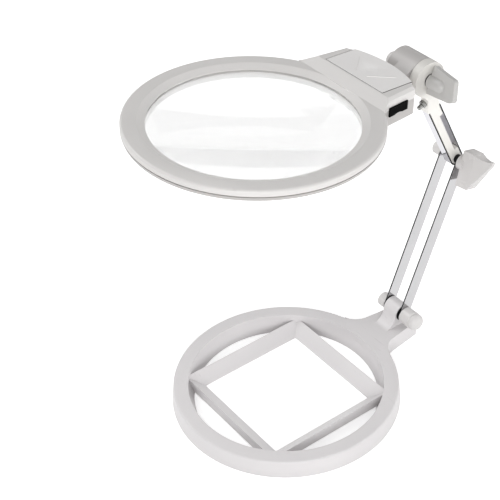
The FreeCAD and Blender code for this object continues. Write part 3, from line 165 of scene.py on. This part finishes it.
class Finish:
    """The nodes of a material or of the surround. node makes any node and gives one of its outputs."""

    def __init__(self, owner):
        owner.use_nodes = True
        self.tree = owner.node_tree
        self.tree.nodes.clear()

    def node(self, kind, settings=None, inputs=None, output=0):
        made = self.tree.nodes.new(kind)
        for name, value in (settings or {}).items():
            setattr(made, name, value)
        for name, value in (inputs or {}).items():
            if isinstance(value, Shade):
                self.tree.links.new(value.socket, made.inputs[name])
            else:
                made.inputs[name].default_value = value
        return Shade(self, made.outputs[output] if len(made.outputs) else None)

    def blend(self, share, first, second):
        """A colour between two, by a share from 0 to 1."""
        settings = {"data_type": "RGBA", "clamp_factor": True}
        return self.node("ShaderNodeMix", settings, {0: share, 6: first, 7: second}, output=2)

    def noise(self, place, scale, detail=3.0):
        return self.node("ShaderNodeTexNoise", inputs={"Vector": place, "Scale": scale, "Detail": detail})

    def seen_rays(self):
        """1 for camera, glossy and transmission rays, and 0 for the rays that light the object."""
        camera_ray = self.node("ShaderNodeLightPath", output="Is Camera Ray")
        glossy_ray = self.node("ShaderNodeLightPath", output="Is Glossy Ray")
        transmission_ray = self.node("ShaderNodeLightPath", output="Is Transmission Ray")
        return camera_ray.at_least(glossy_ray).at_least(transmission_ray)


def panel(name, middle, across, rise):
    """A flat rectangle of the studio, from its middle and its two half sides."""
    mesh = bpy.data.meshes.new(name)
    middle, across, rise = (np.array(value, float) for value in (middle, across, rise))
    corners = [middle + across * a + rise * b for a, b in ((-1, -1), (1, -1), (1, 1), (-1, 1))]
    mesh.from_pydata([tuple(corner) for corner in corners], [], [(0, 1, 2, 3)])
    made = bpy.data.objects.new(name, mesh)
    bpy.context.scene.collection.objects.link(made)
    material = bpy.data.materials.new(name)
    mesh.materials.append(material)
    return made, Finish(material)


world = bpy.data.worlds.new("surround")
bpy.context.scene.world = world
surround = Finish(world)
white_light = surround.node(
    "ShaderNodeBackground",
    inputs={
        "Color": (1.0, 1.0, 1.0, 1.0),
        "Strength": SURROUND_LIGHT + (1.0 - SURROUND_LIGHT) * surround.seen_rays(),
    },
)
surround.node("ShaderNodeOutputWorld", inputs={"Surface": white_light})

floor_finish = panel("floor", (0, 0, 0), (FLOOR_HALF, 0, 0), (0, FLOOR_HALF, 0))[1]
floor_surface = floor_finish.node(
    "ShaderNodeBsdfPrincipled",
    inputs={
        "Base Color": FLOOR_WHITE,
        "Roughness": STUDIO_ROUGHNESS,
        "Specular IOR Level": FLOOR_GLOSS,
        "Emission Color": (1.0, 1.0, 1.0, 1.0),
        "Emission Strength": FLOOR_LIFT * floor_finish.seen_rays(),
    },
)
floor_finish.node("ShaderNodeOutputMaterial", inputs={"Surface": floor_surface})


def grey_card(name, middle, across, rise, grey):
    """A matt grey panel that the camera doesn't see, straight or through the lens."""
    card, finish = panel(name, middle, across, rise)
    card.visible_camera = False
    card.visible_transmission = False
    surface = finish.node(
        "ShaderNodeBsdfPrincipled",
        inputs={"Base Color": (grey, grey, grey, 1.0), "Roughness": STUDIO_ROUGHNESS},
    )
    finish.node("ShaderNodeOutputMaterial", inputs={"Surface": surface})
    return card


canopy = grey_card("canopy", (0, 0, CANOPY_HEIGHT), (0, CANOPY_HALF, 0), (CANOPY_HALF, 0, 0), CANOPY_GREY)
canopy.visible_glossy = False
for name, (middle, half_width, half_height, grey) in CARDS.items():
    outward = np.array([middle[0], middle[1], 0.0])
    outward /= np.linalg.norm(outward)
    card = grey_card(name, middle, np.cross(outward, [0, 0, 1]) * half_width, (0, 0, half_height), grey)
    card.visible_diffuse = False
    card.visible_shadow = False

for name, (place, half_side, power) in LAMPS.items():
    light = bpy.data.lights.new(name, "AREA")
    light.size = half_side * 2
    light.energy = power
    lamp = bpy.data.objects.new(name, light)
    toward = np.array(place) / np.linalg.norm(place)
    side = np.cross([0.0, 0.0, 1.0], toward)
    side /= np.linalg.norm(side)
    rise = np.cross(toward, side)
    lamp.matrix_world = Matrix(
        [[side[row], rise[row], toward[row], place[row]] for row in range(3)] + [[0, 0, 0, 1]]
    )
    bpy.context.scene.collection.objects.link(lamp)


# Base frame. One satin moulding of warm white plastic: the ring, the square window of sloping bars, the neck
# and the hinge pillar. Its edges are softly rounded by the mould, it is scuffed, and its foot is dusty.

BASE_WHITE = (0.705, 0.685, 0.69)
SHARP_ANGLE = math.radians(32)
FLAT_ANGLE = math.radians(0.6)
SAME_POINT = 2e-6
CORNER_ANGLE = math.radians(20)
CORNER_STEPS = 6
CORNER_SHORTEST = 0.002
CORNER_SLANT = 0.1
PLASTIC_IOR = 1.49
# How many times each pattern in the plastic repeats in a metre.
CLOUDS = 11.0
RUBS = 46.0
GRAINS = 1500.0
SCRATCHES = 700.0
SCRATCHED_PLACES = 30.0
SCRATCH_STRETCH = (1.0, 0.12, 0.3)
# What is left of the colour where the plastic is clouded, scratched or dusty.
CLOUDED = 0.94
SCRATCHED = 0.86
DUSTY = 0.8
DUST_COVER = 0.4
ROUGHNESS_SPAN = 0.12
SCRATCH_DEPTH = 2.0
GRAIN_STRENGTH = 0.2

body_of = {
    node: body for body, nodes in frame["record"]["behaviour"]["bodies"].items() for node in nodes
}


def moulded(name, colour, roughness=0.36, scuff=0.0, grain=0.00008, foot=None, gloss=0.5, painted_shade_band=None):
    """Moulded plastic: a faint clouding of the colour, a fine mould grain and rubbed patches of another
    gloss, and with scuff also thin scratches. With foot, it is dustier from that height down to the table.
    The shade band is two heights and a share: between them the colour turns to that share, a painted shade."""
    material = bpy.data.materials.new(name)
    finish = Finish(material)
    place = finish.node("ShaderNodeTexCoord", output="Object")
    cloud = finish.noise(place, CLOUDS, 2.0)
    rubbed = finish.noise(place, RUBS, 5.0)
    grained = finish.noise(place, GRAINS, 2.0)
    spread = finish.node(
        "ShaderNodeVectorMath", {"operation": "MULTIPLY"}, {0: place, 1: SCRATCH_STRETCH}
    )
    lines = finish.noise(spread, SCRATCHES, 4.0).ramp(0.63, 0.72)
    scratch = lines * finish.noise(place, SCRATCHED_PLACES).ramp(0.5, 0.62)
    dull = tuple(value * CLOUDED for value in colour) + (1.0,)
    tint = finish.blend(cloud.ramp(0.3, 0.7), dull, tuple(colour) + (1.0,))
    worn = tuple(value * SCRATCHED for value in colour) + (1.0,)
    tint = finish.blend(scratch * scuff, tint, worn)
    if foot is not None:
        height = finish.node("ShaderNodeSeparateXYZ", inputs={0: place}, output="Z")
        dust = (1.0 - height.ramp(0.0, foot)) * rubbed
        dusty = tuple(value * DUSTY for value in colour) + (1.0,)
        tint = finish.blend(dust * DUST_COVER, tint, dusty)
    # Painted shade: between two heights the colour darkens to a share of itself.
    if painted_shade_band is not None:
        height = finish.node("ShaderNodeSeparateXYZ", inputs={0: place}, output="Z")
        low, high, share = painted_shade_band
        greyer = tuple(value * share for value in colour) + (1.0,)
        tint = finish.blend(height.ramp(low, high), tint, greyer)
    relief = finish.node(
        "ShaderNodeBump",
        inputs={
            "Height": grained + scratch * scuff * -SCRATCH_DEPTH,
            "Strength": GRAIN_STRENGTH,
            "Distance": grain,
        },
    )
    surface = finish.node(
        "ShaderNodeBsdfPrincipled",
        inputs={
            "Base Color": tint,
            "Roughness": roughness
            - ROUGHNESS_SPAN / 2
            + ROUGHNESS_SPAN * rubbed
            + ROUGHNESS_SPAN * scuff * scratch,
            "IOR": PLASTIC_IOR,
            "Specular IOR Level": gloss,
            "Normal": relief,
        },
    )
    finish.node("ShaderNodeOutputMaterial", inputs={"Surface": surface})
    return material


def shade_soft(mesh, angle=SHARP_ANGLE):
    """Smooth shading, with edges kept sharp where the surface turns by more than the angle."""
    mesh.polygons.foreach_set("use_smooth", [True] * len(mesh.polygons))
    work = bmesh.new()
    work.from_mesh(mesh)
    for edge in work.edges:
        if len(edge.link_faces) == 2:
            edge.smooth = edge.calc_face_angle(0.0) < angle
    work.to_mesh(mesh)
    work.free()


def marked_round(made, name, width, steps, marks, clamp=True):
    """Rounds only the marked edges."""
    weights = made.data.attributes.new("bevel_weight_edge", "FLOAT", "EDGE")
    weights.data.foreach_set("value", np.asarray(marks, float))
    rounding = made.modifiers.new(name, "BEVEL")
    rounding.width = width
    rounding.segments = steps
    rounding.limit_method = "WEIGHT"
    rounding.use_clamp_overlap = clamp
    return rounding


def far_corners(made, reach):
    """Marks each sharp edge that runs across the hinge axes, the frame's Y, and stands further than reach
    from the piece's inner end."""
    work = bmesh.new()
    work.from_mesh(made.data)
    inner = max(vertex.co.y for vertex in work.verts)
    marks = []
    for edge in work.edges:
        run = edge.verts[1].co - edge.verts[0].co
        across = abs(run.y) < CORNER_SLANT * run.length and run.length > CORNER_SHORTEST
        far = inner - (edge.verts[0].co.y + edge.verts[1].co.y) / 2 > reach
        joined = len(edge.link_faces) == 2
        marks.append(across and far and joined and edge.calc_face_angle() > CORNER_ANGLE)
    work.free()
    return marks


def placed(name, mesh, body, *nodes):
    """An object that rides on the body and takes the nodes' place."""
    made = bpy.data.objects.new(name, mesh)
    bpy.context.scene.collection.objects.link(made)
    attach(made, body)
    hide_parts(*nodes)
    return made


def eased(node, finish, width, steps=2, angle=SHARP_ANGLE, corners=None):
    """The node's own form with its flat faces joined up and its edges rounded as a mould or a file leaves
    them. It takes the node's place. corners gives a wider rounding and how far out it begins."""
    source = frame["nodes"][node]
    work = bmesh.new()
    work.from_mesh(source.data)
    work.transform(source.matrix_world)
    bmesh.ops.remove_doubles(work, verts=work.verts, dist=SAME_POINT)
    bmesh.ops.dissolve_limit(
        work, angle_limit=FLAT_ANGLE, verts=work.verts, edges=work.edges, use_dissolve_boundaries=False
    )
    mesh = bpy.data.meshes.new(node + "_eased")
    work.to_mesh(mesh)
    work.free()
    mesh.materials.append(finish)
    shade_soft(mesh, angle)
    made = placed(node + "_eased", mesh, body_of[node], node)
    if corners is not None:
        corner_width, corner_reach = corners
        marks = far_corners(made, corner_reach)
        marked_round(made, "corner_round", corner_width, CORNER_STEPS, marks, clamp=False)
    bevel = made.modifiers.new("soft_edges", "BEVEL")
    bevel.width = width
    bevel.segments = steps
    bevel.limit_method = "ANGLE"
    bevel.angle_limit = angle
    bevel.harden_normals = True
    bevel.use_clamp_overlap = True
    return made


base_plastic = moulded("base_plastic", BASE_WHITE, roughness=0.34, scuff=0.7, foot=0.006)
eased("base_frame", base_plastic, width=0.0008, steps=3)


# Base clamp. A steel bolt through the pillar and black rubber washers that grip the strips. The ribbed far
# head and the round knob, with a brass nut inside and a domed cap over its end, are moulded plastic, and each
# is turned from a profile about the base hinge.

RUBBER_BLACK = (0.008, 0.008, 0.009)
CLAMP_WHITE = (0.67, 0.652, 0.645)
STEEL_GREY = (0.52, 0.52, 0.51)
BRASS = (0.66, 0.5, 0.22)
SMALL_ROUND = 0.0003
FINE_ROUND = 0.0002
# How many times each pattern in the metal repeats in a metre.
DRAWN_LINES = 2600.0
BREATHS = 38.0
SPECKS = 900.0
DULLED = 0.82
LINE_STRENGTH = 0.05
LINE_DEPTH = 0.00002
BREATH_ROUGHNESS = 0.06
LINE_ROUGHNESS = 0.05
SPECK_ROUGHNESS = 0.1


def metal(name, colour, roughness, drawn=(1.0, 1.0, 0.03), grime=0.3, metallic=1.0):
    """Metal with fine lines drawn along one direction, breath-thin dulling and a few darker specks. drawn
    gives how tightly the lines follow each other along each axis, and grime how far the colour dulls."""
    material = bpy.data.materials.new(name)
    finish = Finish(material)
    place = finish.node("ShaderNodeTexCoord", output="Object")
    drawn_place = finish.node("ShaderNodeVectorMath", {"operation": "MULTIPLY"}, {0: place, 1: drawn})
    lines = finish.noise(drawn_place, DRAWN_LINES, 3.0)
    breath = finish.noise(place, BREATHS, 4.0)
    specks = finish.noise(place, SPECKS, 2.0).ramp(0.68, 0.78)
    dull = tuple(value * DULLED for value in colour) + (1.0,)
    tint = finish.blend(breath.ramp(0.35, 0.75) * grime + specks * grime, tuple(colour) + (1.0,), dull)
    relief = finish.node(
        "ShaderNodeBump", inputs={"Height": lines, "Strength": LINE_STRENGTH, "Distance": LINE_DEPTH}
    )
    surface = finish.node(
        "ShaderNodeBsdfPrincipled",
        inputs={
            "Base Color": tint,
            "Metallic": metallic,
            "Roughness": roughness
            + BREATH_ROUGHNESS * breath
            + LINE_ROUGHNESS * lines
            + SPECK_ROUGHNESS * specks,
            "Normal": relief,
        },
    )
    finish.node("ShaderNodeOutputMaterial", inputs={"Surface": surface})
    return material


rubber = moulded("black_rubber", RUBBER_BLACK, roughness=0.62, scuff=0.2, grain=0.0002, gloss=0.15)
clamp_plastic = moulded("clamp_plastic", CLAMP_WHITE, roughness=0.3, scuff=0.5)
bolt_steel = metal("bolt_steel", STEEL_GREY, roughness=0.24, drawn=(1.0, 0.03, 1.0))
nut_brass = metal("nut_brass", BRASS, roughness=0.26)
eased("base_washers", rubber, SMALL_ROUND)
eased("base_bolt", bolt_steel, SMALL_ROUND)
eased("base_knob_nut", nut_brass, FINE_ROUND)

KNOB_CHAMFER = 0.0009
BOLT_CLEARANCE = 0.00008
# How far in from the knob's side, and how far out along it, each point of its soft inner edge lies.
KNOB_INNER_EDGE = ((0.0009, 0.0), (0.0004, 0.0003), (0.0002, 0.0010))
CAP_SEAM = 0.0001
CAP_EDGE = 0.0005
DOME_FROM = 0.72
HEAD_RIBS = 22
RIB_SHARE = 0.025
RIBBED_FROM = 0.93
HEAD_FACE = 0.92
HEAD_INNER_EDGE = 0.0004
HEAD_SIDE_END = 0.0012
HEAD_OUTER_ROUND = 0.0009
HEAD_ROUND_STEPS = 10
TURNED_SAME_POINT = 1e-6

bolt_low, bolt_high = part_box("base_bolt")
nut_low, nut_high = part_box("base_knob_nut")
knob_low, knob_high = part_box("base_knob")
cap_low, cap_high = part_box("base_knob_cap")
disc_low, disc_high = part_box("base_bolt_head")
knob_radius = (knob_high.z - knob_low.z) / 2
cap_radius = (cap_high.z - cap_low.z) / 2
bolt_radius = (bolt_high.z - bolt_low.z) / 2
knob_bore = bolt_radius + BOLT_CLEARANCE
nut_radius = (nut_high.z - nut_low.z) / 2


def quarter(radius, start, depth, steps=24):
    """An oval corner from (radius, start) to the axis: r = radius cos a, y = start + depth sin a."""
    angle = np.linspace(0.0, np.pi / 2, steps)
    return np.stack([radius * np.cos(angle), start + depth * np.sin(angle)], axis=-1)


def closed(name, points, faces, finish):
    """A mesh with its seams and poles joined and its faces pointing outwards."""
    mesh = bpy.data.meshes.new(name)
    mesh.from_pydata(points.reshape(-1, 3).tolist(), [], faces.reshape(-1, 4).tolist())
    work = bmesh.new()
    work.from_mesh(mesh)
    bmesh.ops.remove_doubles(work, verts=work.verts, dist=TURNED_SAME_POINT)
    bmesh.ops.dissolve_degenerate(work, edges=work.edges, dist=TURNED_SAME_POINT)
    bmesh.ops.recalc_face_normals(work, faces=work.faces)
    work.to_mesh(mesh)
    work.free()
    mesh.materials.append(finish)
    return mesh


def turned(node, profile, finish, ribs=0, around=176):
    """A turned piece about the base hinge: a point (r, y) of the closed profile goes to
    (x0 + k r cos t, y, z0 + k r sin t). On the ribbed outside k = 1 + RIB_SHARE cos(ribs t)."""
    profile = np.asarray(profile, float)
    turn = np.linspace(0.0, 2 * np.pi, around, endpoint=False)
    radius, bearing = np.meshgrid(profile[:, 0], turn, indexing="ij")
    ribbed = (radius > RIBBED_FROM * radius.max()) * (ribs > 0)
    radius = radius * (1.0 + RIB_SHARE * np.cos(ribs * bearing) * ribbed)
    x = (bolt_low.x + bolt_high.x) / 2 + radius * np.cos(bearing)
    z = (bolt_low.z + bolt_high.z) / 2 + radius * np.sin(bearing)
    y = np.broadcast_to(profile[:, 1:2], x.shape)
    ring = np.arange(x.size).reshape(x.shape)
    corners = [ring, np.roll(ring, -1, 1), np.roll(np.roll(ring, -1, 0), -1, 1), np.roll(ring, -1, 0)]
    mesh = closed(node + "_turned", np.stack([x, y, z], axis=-1), np.stack(corners, axis=-1), finish)
    shade_soft(mesh)
    placed(node + "_turned", mesh, body_of[node], node)


turned(
    "base_knob",
    [(knob_bore, knob_high.y)]
    + [(knob_radius - inward, knob_high.y - outward) for inward, outward in KNOB_INNER_EDGE]
    + [
        (knob_radius, knob_low.y + KNOB_CHAMFER + CAP_SEAM),
        (knob_radius - KNOB_CHAMFER, knob_low.y + CAP_SEAM),
        (nut_radius, knob_low.y + CAP_SEAM),
        (nut_radius, nut_high.y),
        (knob_bore, nut_high.y),
    ],
    clamp_plastic,
)
dome_start = cap_low.y + (cap_high.y - cap_low.y) * DOME_FROM
turned(
    "base_knob_cap",
    [(0.0, cap_high.y), (cap_radius - CAP_EDGE, cap_high.y), (cap_radius, cap_high.y - CAP_EDGE)]
    + quarter(cap_radius, dome_start, cap_low.y - dome_start).tolist(),
    clamp_plastic,
)
disc_radius = (disc_high.z - disc_low.z) / 2 / (1.0 + RIB_SHARE)
face_radius = disc_radius * HEAD_FACE
face_start = disc_high.y - HEAD_OUTER_ROUND
turned(
    "base_bolt_head",
    [(0.0, bolt_high.y), (bolt_radius, bolt_high.y), (bolt_radius, disc_low.y), (face_radius, disc_low.y)]
    + [(disc_radius, disc_low.y + HEAD_INNER_EDGE), (disc_radius, disc_high.y - HEAD_SIDE_END)]
    + quarter(face_radius, face_start, HEAD_OUTER_ROUND, HEAD_ROUND_STEPS).tolist(),
    clamp_plastic,
    HEAD_RIBS,
)


# Lower arm. Two flat strips of steel with punched rounded ends and hardly eased edges. Their faces are
# chromed, and their narrow cut edges are painted nearly black, a painted shade.

CHROME = (0.57, 0.565, 0.575)
# The nearly black of the narrow edges is painted shade.
EDGE_SHADE_BLACK = (0.014, 0.014, 0.016)
STRIP_ROUND = 0.00018
EDGE_LEAN = 0.3

strip_chrome = metal("strip_chrome", CHROME, roughness=0.05, drawn=(0.4, 1.0, 0.05), grime=0.25)
cut_edge = metal("cut_edge", EDGE_SHADE_BLACK, roughness=0.3, drawn=(1.0, 40.0, 1.0), grime=0.5)
for strip in ("lower_strip_near", "lower_strip_far"):
    sheet = eased(strip, strip_chrome, STRIP_ROUND).data
    sheet.materials.append(cut_edge)
    for face in sheet.polygons:
        face.material_index = int(abs(face.normal.y) < EDGE_LEAN)


# Middle clamp. The steel bolt, its round far head and the rubber spacers, and the moulded wing with the brass
# nut inside. The wing is a thick wedge with soft corners that thins towards its outer edge.

WING_WHITE = (0.64, 0.62, 0.612)

wing_plastic = moulded("wing_plastic", WING_WHITE, roughness=0.27, scuff=0.5)
eased("mid_bolt", bolt_steel, SMALL_ROUND)
eased("mid_bolt_head", clamp_plastic, width=0.0004, steps=3)
eased("mid_spacers", rubber, SMALL_ROUND)
eased("mid_knob_nut", nut_brass, FINE_ROUND)
eased("mid_wing_knob", wing_plastic, width=0.0009, steps=4)


# Upper arm. A chromed channel, open on its near side. The white plastic core that fills it bends out of its
# top as a stem and ends in the eye of the head joint. A zinc-plated screw and nut pass through the stem.

CHANNEL_CHROME = (0.64, 0.635, 0.665)
# The pale white of the channel's inside is a painted reflection, standing in for the lit chrome there.
CHANNEL_SHEEN_WHITE = (0.93, 0.92, 0.95)
FITTING_CREAM = (0.87, 0.85, 0.81)
ZINC = (0.3, 0.3, 0.29)
CHANNEL_DRAWN = (1.0, 1.0, 0.04)
CHANNEL_ROUND = 0.00015
CHANNEL_FLOOR = 1
CHANNEL_RIM = 2
OPEN_SIDE_LEAN = -0.7
RIM_DEPTH = 0.001
# Painted shade over the eye: between these two depths below the eye's axis the white turns greyer, and
# above them it is this share of it.
SHADE_BAND_FROM = 0.021
SHADE_BAND_TO = 0.006
SHADE_BAND_SHARE = 0.78

joints = {joint["name"]: joint for joint in frame["joints"]}
eye_height = joints["head_hinge"]["pos_m"][2]
painted_shade_band = (eye_height - SHADE_BAND_FROM, eye_height - SHADE_BAND_TO, SHADE_BAND_SHARE)

channel_chrome = metal("channel_chrome", CHANNEL_CHROME, roughness=0.06, drawn=CHANNEL_DRAWN, grime=0.3)
# The core's white is painted greyer about the eye, a painted shade.
fitting_plastic = moulded("fitting_plastic", FITTING_CREAM, roughness=0.36, scuff=0.4, painted_shade_band=painted_shade_band)
screw_zinc = metal("screw_zinc", ZINC, roughness=0.2, grime=0.8)
# The chrome channel's inner floor gets a pale non-metal finish: a painted reflection.
channel_inside = metal(
    "channel_inside", CHANNEL_SHEEN_WHITE, roughness=0.34, drawn=CHANNEL_DRAWN, grime=0.15, metallic=0.0
)
channel = eased("upper_channel", channel_chrome, CHANNEL_ROUND).data
channel.materials.append(channel_inside)
# The channel's near rim faces take the same nearly black painted shade.
channel.materials.append(cut_edge)
channel_near = min(vertex.co.y for vertex in channel.vertices)
for face in channel.polygons:
    if face.normal.y < OPEN_SIDE_LEAN:
        at_rim = face.center.y < channel_near + RIM_DEPTH
        face.material_index = CHANNEL_RIM if at_rim else CHANNEL_FLOOR
eased("upper_end_fitting", fitting_plastic, width=0.0007, steps=3)
eased("clamp_screw", screw_zinc, SMALL_ROUND)
eased("clamp_nut", screw_zinc, SMALL_ROUND)


# Head joint. The barrel and its web are one moulding, painted a little greyer than the arm as painted shade.
# A steel bolt passes through barrel and eye, which a thin black washer parts. It ends in a plain round head
# on the far side and a flat wing with its brass nut on the near side.

# The bracket's grey is painted shade: the arm's white, darkened for its shadowed barrel.
BRACKET_SHADED_GREY = (0.49, 0.472, 0.462)
END_WHITE = (0.68, 0.66, 0.65)
TOP_WING_GREY = (0.495, 0.487, 0.475)
# The wing's outer corners: how wide they are rounded, and how far from its inner end they begin.
TOP_WING_CORNERS = (0.0014, 0.015)

bracket_plastic = moulded("bracket_plastic", BRACKET_SHADED_GREY, roughness=0.33, scuff=0.4)
eased("head_bracket", bracket_plastic, width=0.0008, steps=3)
eased("top_bolt", bolt_steel, SMALL_ROUND)
end_plastic = moulded("end_plastic", END_WHITE, roughness=0.33, scuff=0.3)
eased("top_bolt_head", end_plastic, width=0.0006, steps=3)
eased("top_washer", rubber, FINE_ROUND)
top_wing_plastic = moulded("top_wing_plastic", TOP_WING_GREY, roughness=0.3, scuff=0.5)
eased("top_wing_knob", top_wing_plastic, width=0.0009, steps=4, corners=TOP_WING_CORNERS)
eased("top_knob_nut", nut_brass, FINE_ROUND)


# Lens head. The upper and lower shells of satin white plastic close on each other at a fine groove, and four
# small steel screws hold them from below. The lower one is painted a greyer white, a painted shade.

SHELL_WHITE = (0.695, 0.678, 0.665)
# The lower shell's grey is painted shade: the same white, darkened where it lies in shadow.
LOWER_SHELL_SHADED_GREY = (0.47, 0.452, 0.44)
SHELL_SHARP_ANGLE = math.radians(17)

shell_plastic = moulded("shell_plastic", SHELL_WHITE, roughness=0.33, scuff=0.5)
lower_plastic = moulded("lower_plastic", LOWER_SHELL_SHADED_GREY, roughness=0.35, scuff=0.5)
eased("upper_shell", shell_plastic, width=0.0005, angle=SHELL_SHARP_ANGLE)
eased("lower_shell", lower_plastic, width=0.0004)
eased("shell_screws", bolt_steel, FINE_ROUND)


# Lens. Clear cast acrylic, curved alike on both faces and ground to a thin rim, with a small stronger spot
# raised on its underside near the handle.

LENS_RADIUS = 0.0665
LENS_MIDDLE = 0.013
LENS_RIM = 0.0021
LENS_DROP = 0.0042
SPOT_REACH = 0.0505
SPOT_RADIUS = 0.0125
SPOT_HEIGHT = 0.0006
SPOT_POWER = 0.8
LENS_TINT = (0.99, 0.993, 0.99)
LENS_SHARP_ANGLE = math.radians(60)
# The head's hinge, measured from the ring's middle.
HINGE_REACH = 0.1319
HINGE_DROP = 0.010
# How many times smears and hairlines repeat in a metre, and how far smears cover and dull the tint.
SMEARS = 55.0
HAIRLINES = 2500.0
SMEAR_COVER = 0.5
SMEARED = 0.985

head_ahead = np.array(joints["cover_slide"]["axis"], float)
head_up = np.cross(head_ahead, [0.0, 1.0, 0.0])
head_middle = np.array(joints["head_hinge"]["pos_m"], float) - HINGE_REACH * head_ahead + HINGE_DROP * head_up


def on_head(points):
    """Puts points of the lens head, measured from the ring's middle, into the shared frame."""
    points = np.asarray(points, float)
    return (
        head_middle
        + points[..., 0:1] * head_ahead
        + points[..., 1:2] * np.array([0.0, 1.0, 0.0])
        + points[..., 2:3] * head_up
    )


def skin(name, grid, finish, body, *nodes):
    """A closed surface from rows of rings of points. Its first and last rows are single points."""
    rows, columns = grid.shape[:2]
    ring = np.arange(rows * columns).reshape(rows, columns)
    right = np.roll(ring, -1, axis=1)
    faces = np.stack([ring[:-1], right[:-1], right[1:], ring[1:]], axis=-1)
    return placed(name, closed(name, grid, faces, finish), body, *nodes)


def lens_grid(radial=150, around=256):
    """A face is z = R - sqrt(R^2 - r^2) below its crown, with R = (a^2 + h^2) / 2h for half width a and
    sagitta h. The spot adds c (1 - d^2 / s^2)^0.8 around its own middle, with d the distance from it."""
    sagitta = (LENS_MIDDLE - LENS_RIM) / 2
    curve = (LENS_RADIUS**2 + sagitta**2) / (2 * sagitta)
    share = np.linspace(0.0, 1.0, radial)
    turn = np.linspace(0.0, 2 * np.pi, around, endpoint=False)
    reach, bearing = np.meshgrid(share * LENS_RADIUS, turn, indexing="ij")
    x = reach * np.cos(bearing)
    y = reach * np.sin(bearing)
    fall = curve - np.sqrt(curve**2 - reach**2)
    top = np.stack([x, y, LENS_MIDDLE / 2 - fall], axis=-1)
    spot = 1.0 - ((x - SPOT_REACH) ** 2 + y**2) / SPOT_RADIUS**2
    bump = SPOT_HEIGHT * np.clip(spot, 0.0, 1.0) ** SPOT_POWER
    under = np.stack([x, y, fall - LENS_MIDDLE / 2 - bump], axis=-1)
    grid = np.concatenate([top, under[::-1]])
    grid[..., 2] -= LENS_DROP
    return grid


def clear(name, tint, roughness, ior, smear, body=1.0):
    """Clear plastic with faint finger smears that dull its gloss. What body leaves of 1 goes straight
    through, because the light that a lens reflects inside itself many times would turn black."""
    material = bpy.data.materials.new(name)
    finish = Finish(material)
    place = finish.node("ShaderNodeTexCoord", output="Object")
    smears = finish.noise(place, SMEARS, 5.0).ramp(0.5, 0.75)
    hairlines = finish.noise(place, HAIRLINES, 2.0).ramp(0.7, 0.8)
    smeared = tuple(value * SMEARED for value in tint) + (1.0,)
    colour = finish.blend(smears * SMEAR_COVER, tuple(tint) + (1.0,), smeared)
    surface = finish.node(
        "ShaderNodeBsdfPrincipled",
        inputs={
            "Base Color": colour,
            "Roughness": roughness + smear * smears + smear * hairlines,
            "IOR": ior,
            "Transmission Weight": 1.0,
            "Alpha": body,
        },
    )
    finish.node("ShaderNodeOutputMaterial", inputs={"Surface": surface})
    return material


lens_acrylic = clear("lens_acrylic", LENS_TINT, roughness=0.004, ior=PLASTIC_IOR, smear=0.02, body=0.5)
lens = skin("lens_clear", on_head(lens_grid()), lens_acrylic, "head", "main_lens")
shade_soft(lens.data, LENS_SHARP_ANGLE)


# Battery cover. A thin sliding lid of white plastic with a thumb dimple and two light ridges, more scratched
# than the shells. The seam around it is painted dark, a painted shadow in the gap.

COVER_WHITE = (0.84, 0.825, 0.815)
# The seam's near black is a painted shadow of the gap around the lid.
SEAM_SHADOW_DARK = (0.07, 0.068, 0.065)
SEAM_WIDTH = 0.0005
# The seam runs where a steep face of the lid meets a level one, both large enough to be its sides and top.
STEEP_BELOW = 0.3
LEVEL_ABOVE = 0.7
SIDE_AREA = 1.5e-5
TOP_AREA = 1e-4

cover_plastic = moulded("cover_plastic", COVER_WHITE, roughness=0.31, scuff=0.9)
seam_dirt = moulded("seam_dirt", SEAM_SHADOW_DARK, roughness=0.6, scuff=0.2, gloss=0.1)
lid = eased("battery_cover", cover_plastic, SMALL_ROUND)
lid.data.materials.append(seam_dirt)
lid.modifiers.remove(lid.modifiers["soft_edges"])
beside = {}
for face in lid.data.polygons:
    for key in face.edge_keys:
        beside.setdefault(key, []).append((abs(np.dot(face.normal, head_up)), face.area))
outline = [
    any(level < STEEP_BELOW and area > SIDE_AREA for level, area in beside[edge.key])
    and any(level > LEVEL_ABOVE and area > TOP_AREA for level, area in beside[edge.key])
    for edge in lid.data.edges
]
# The seam's rounding takes the dark finish: a painted shadow.
marked_round(lid, "seam", SEAM_WIDTH, 2, outline).material = 1


# Switch. A matt black moulded slider with a shallow finger hollow, whose stem reaches through the handle's
# near wall, and the black switch block inside.

SLIDER_BLACK = (0.003, 0.003, 0.003)
BLOCK_BLACK = (0.02, 0.02, 0.022)

slider_plastic = moulded("slider_plastic", SLIDER_BLACK, roughness=0.55, scuff=0.3, gloss=0.02)
eased("switch_slider", slider_plastic, width=0.0004, steps=3)
switch_block = moulded("switch_block", BLOCK_BLACK, roughness=0.5, scuff=0.2)
eased("switch_body", switch_block, FINE_ROUND)


# Inside the handle: two jacketed cells, their plated contact plates and coil springs, the small white board,
# and the two clear lamps that look out under the lens.

JACKET = (0.14, 0.15, 0.17)
PLATING = (0.66, 0.65, 0.61)
BOARD_WHITE = (0.62, 0.64, 0.6)
LAMP_TINT = (0.93, 0.93, 0.9)
PLATE_ROUND = 0.0001

plated = metal("plated_contact", PLATING, roughness=0.18)
jacket = moulded("cell_jacket", JACKET, roughness=0.28, scuff=0.5)
for cell in ("battery_first", "battery_second"):
    eased(cell, jacket, SMALL_ROUND)
eased("contact_plates", plated, PLATE_ROUND)
for coil in ("contact_spring_first", "contact_spring_second"):
    wire = frame["nodes"][coil].data
    wire.materials.clear()
    wire.materials.append(plated)
board_plastic = moulded("board_white", BOARD_WHITE, roughness=0.4, scuff=0.2)
eased("led_board", board_plastic, PLATE_ROUND)
lamp_epoxy = clear("lamp_epoxy", LAMP_TINT, roughness=0.03, ior=1.5, smear=0.04)
eased("leds", lamp_epoxy, width=0.0009, steps=4)
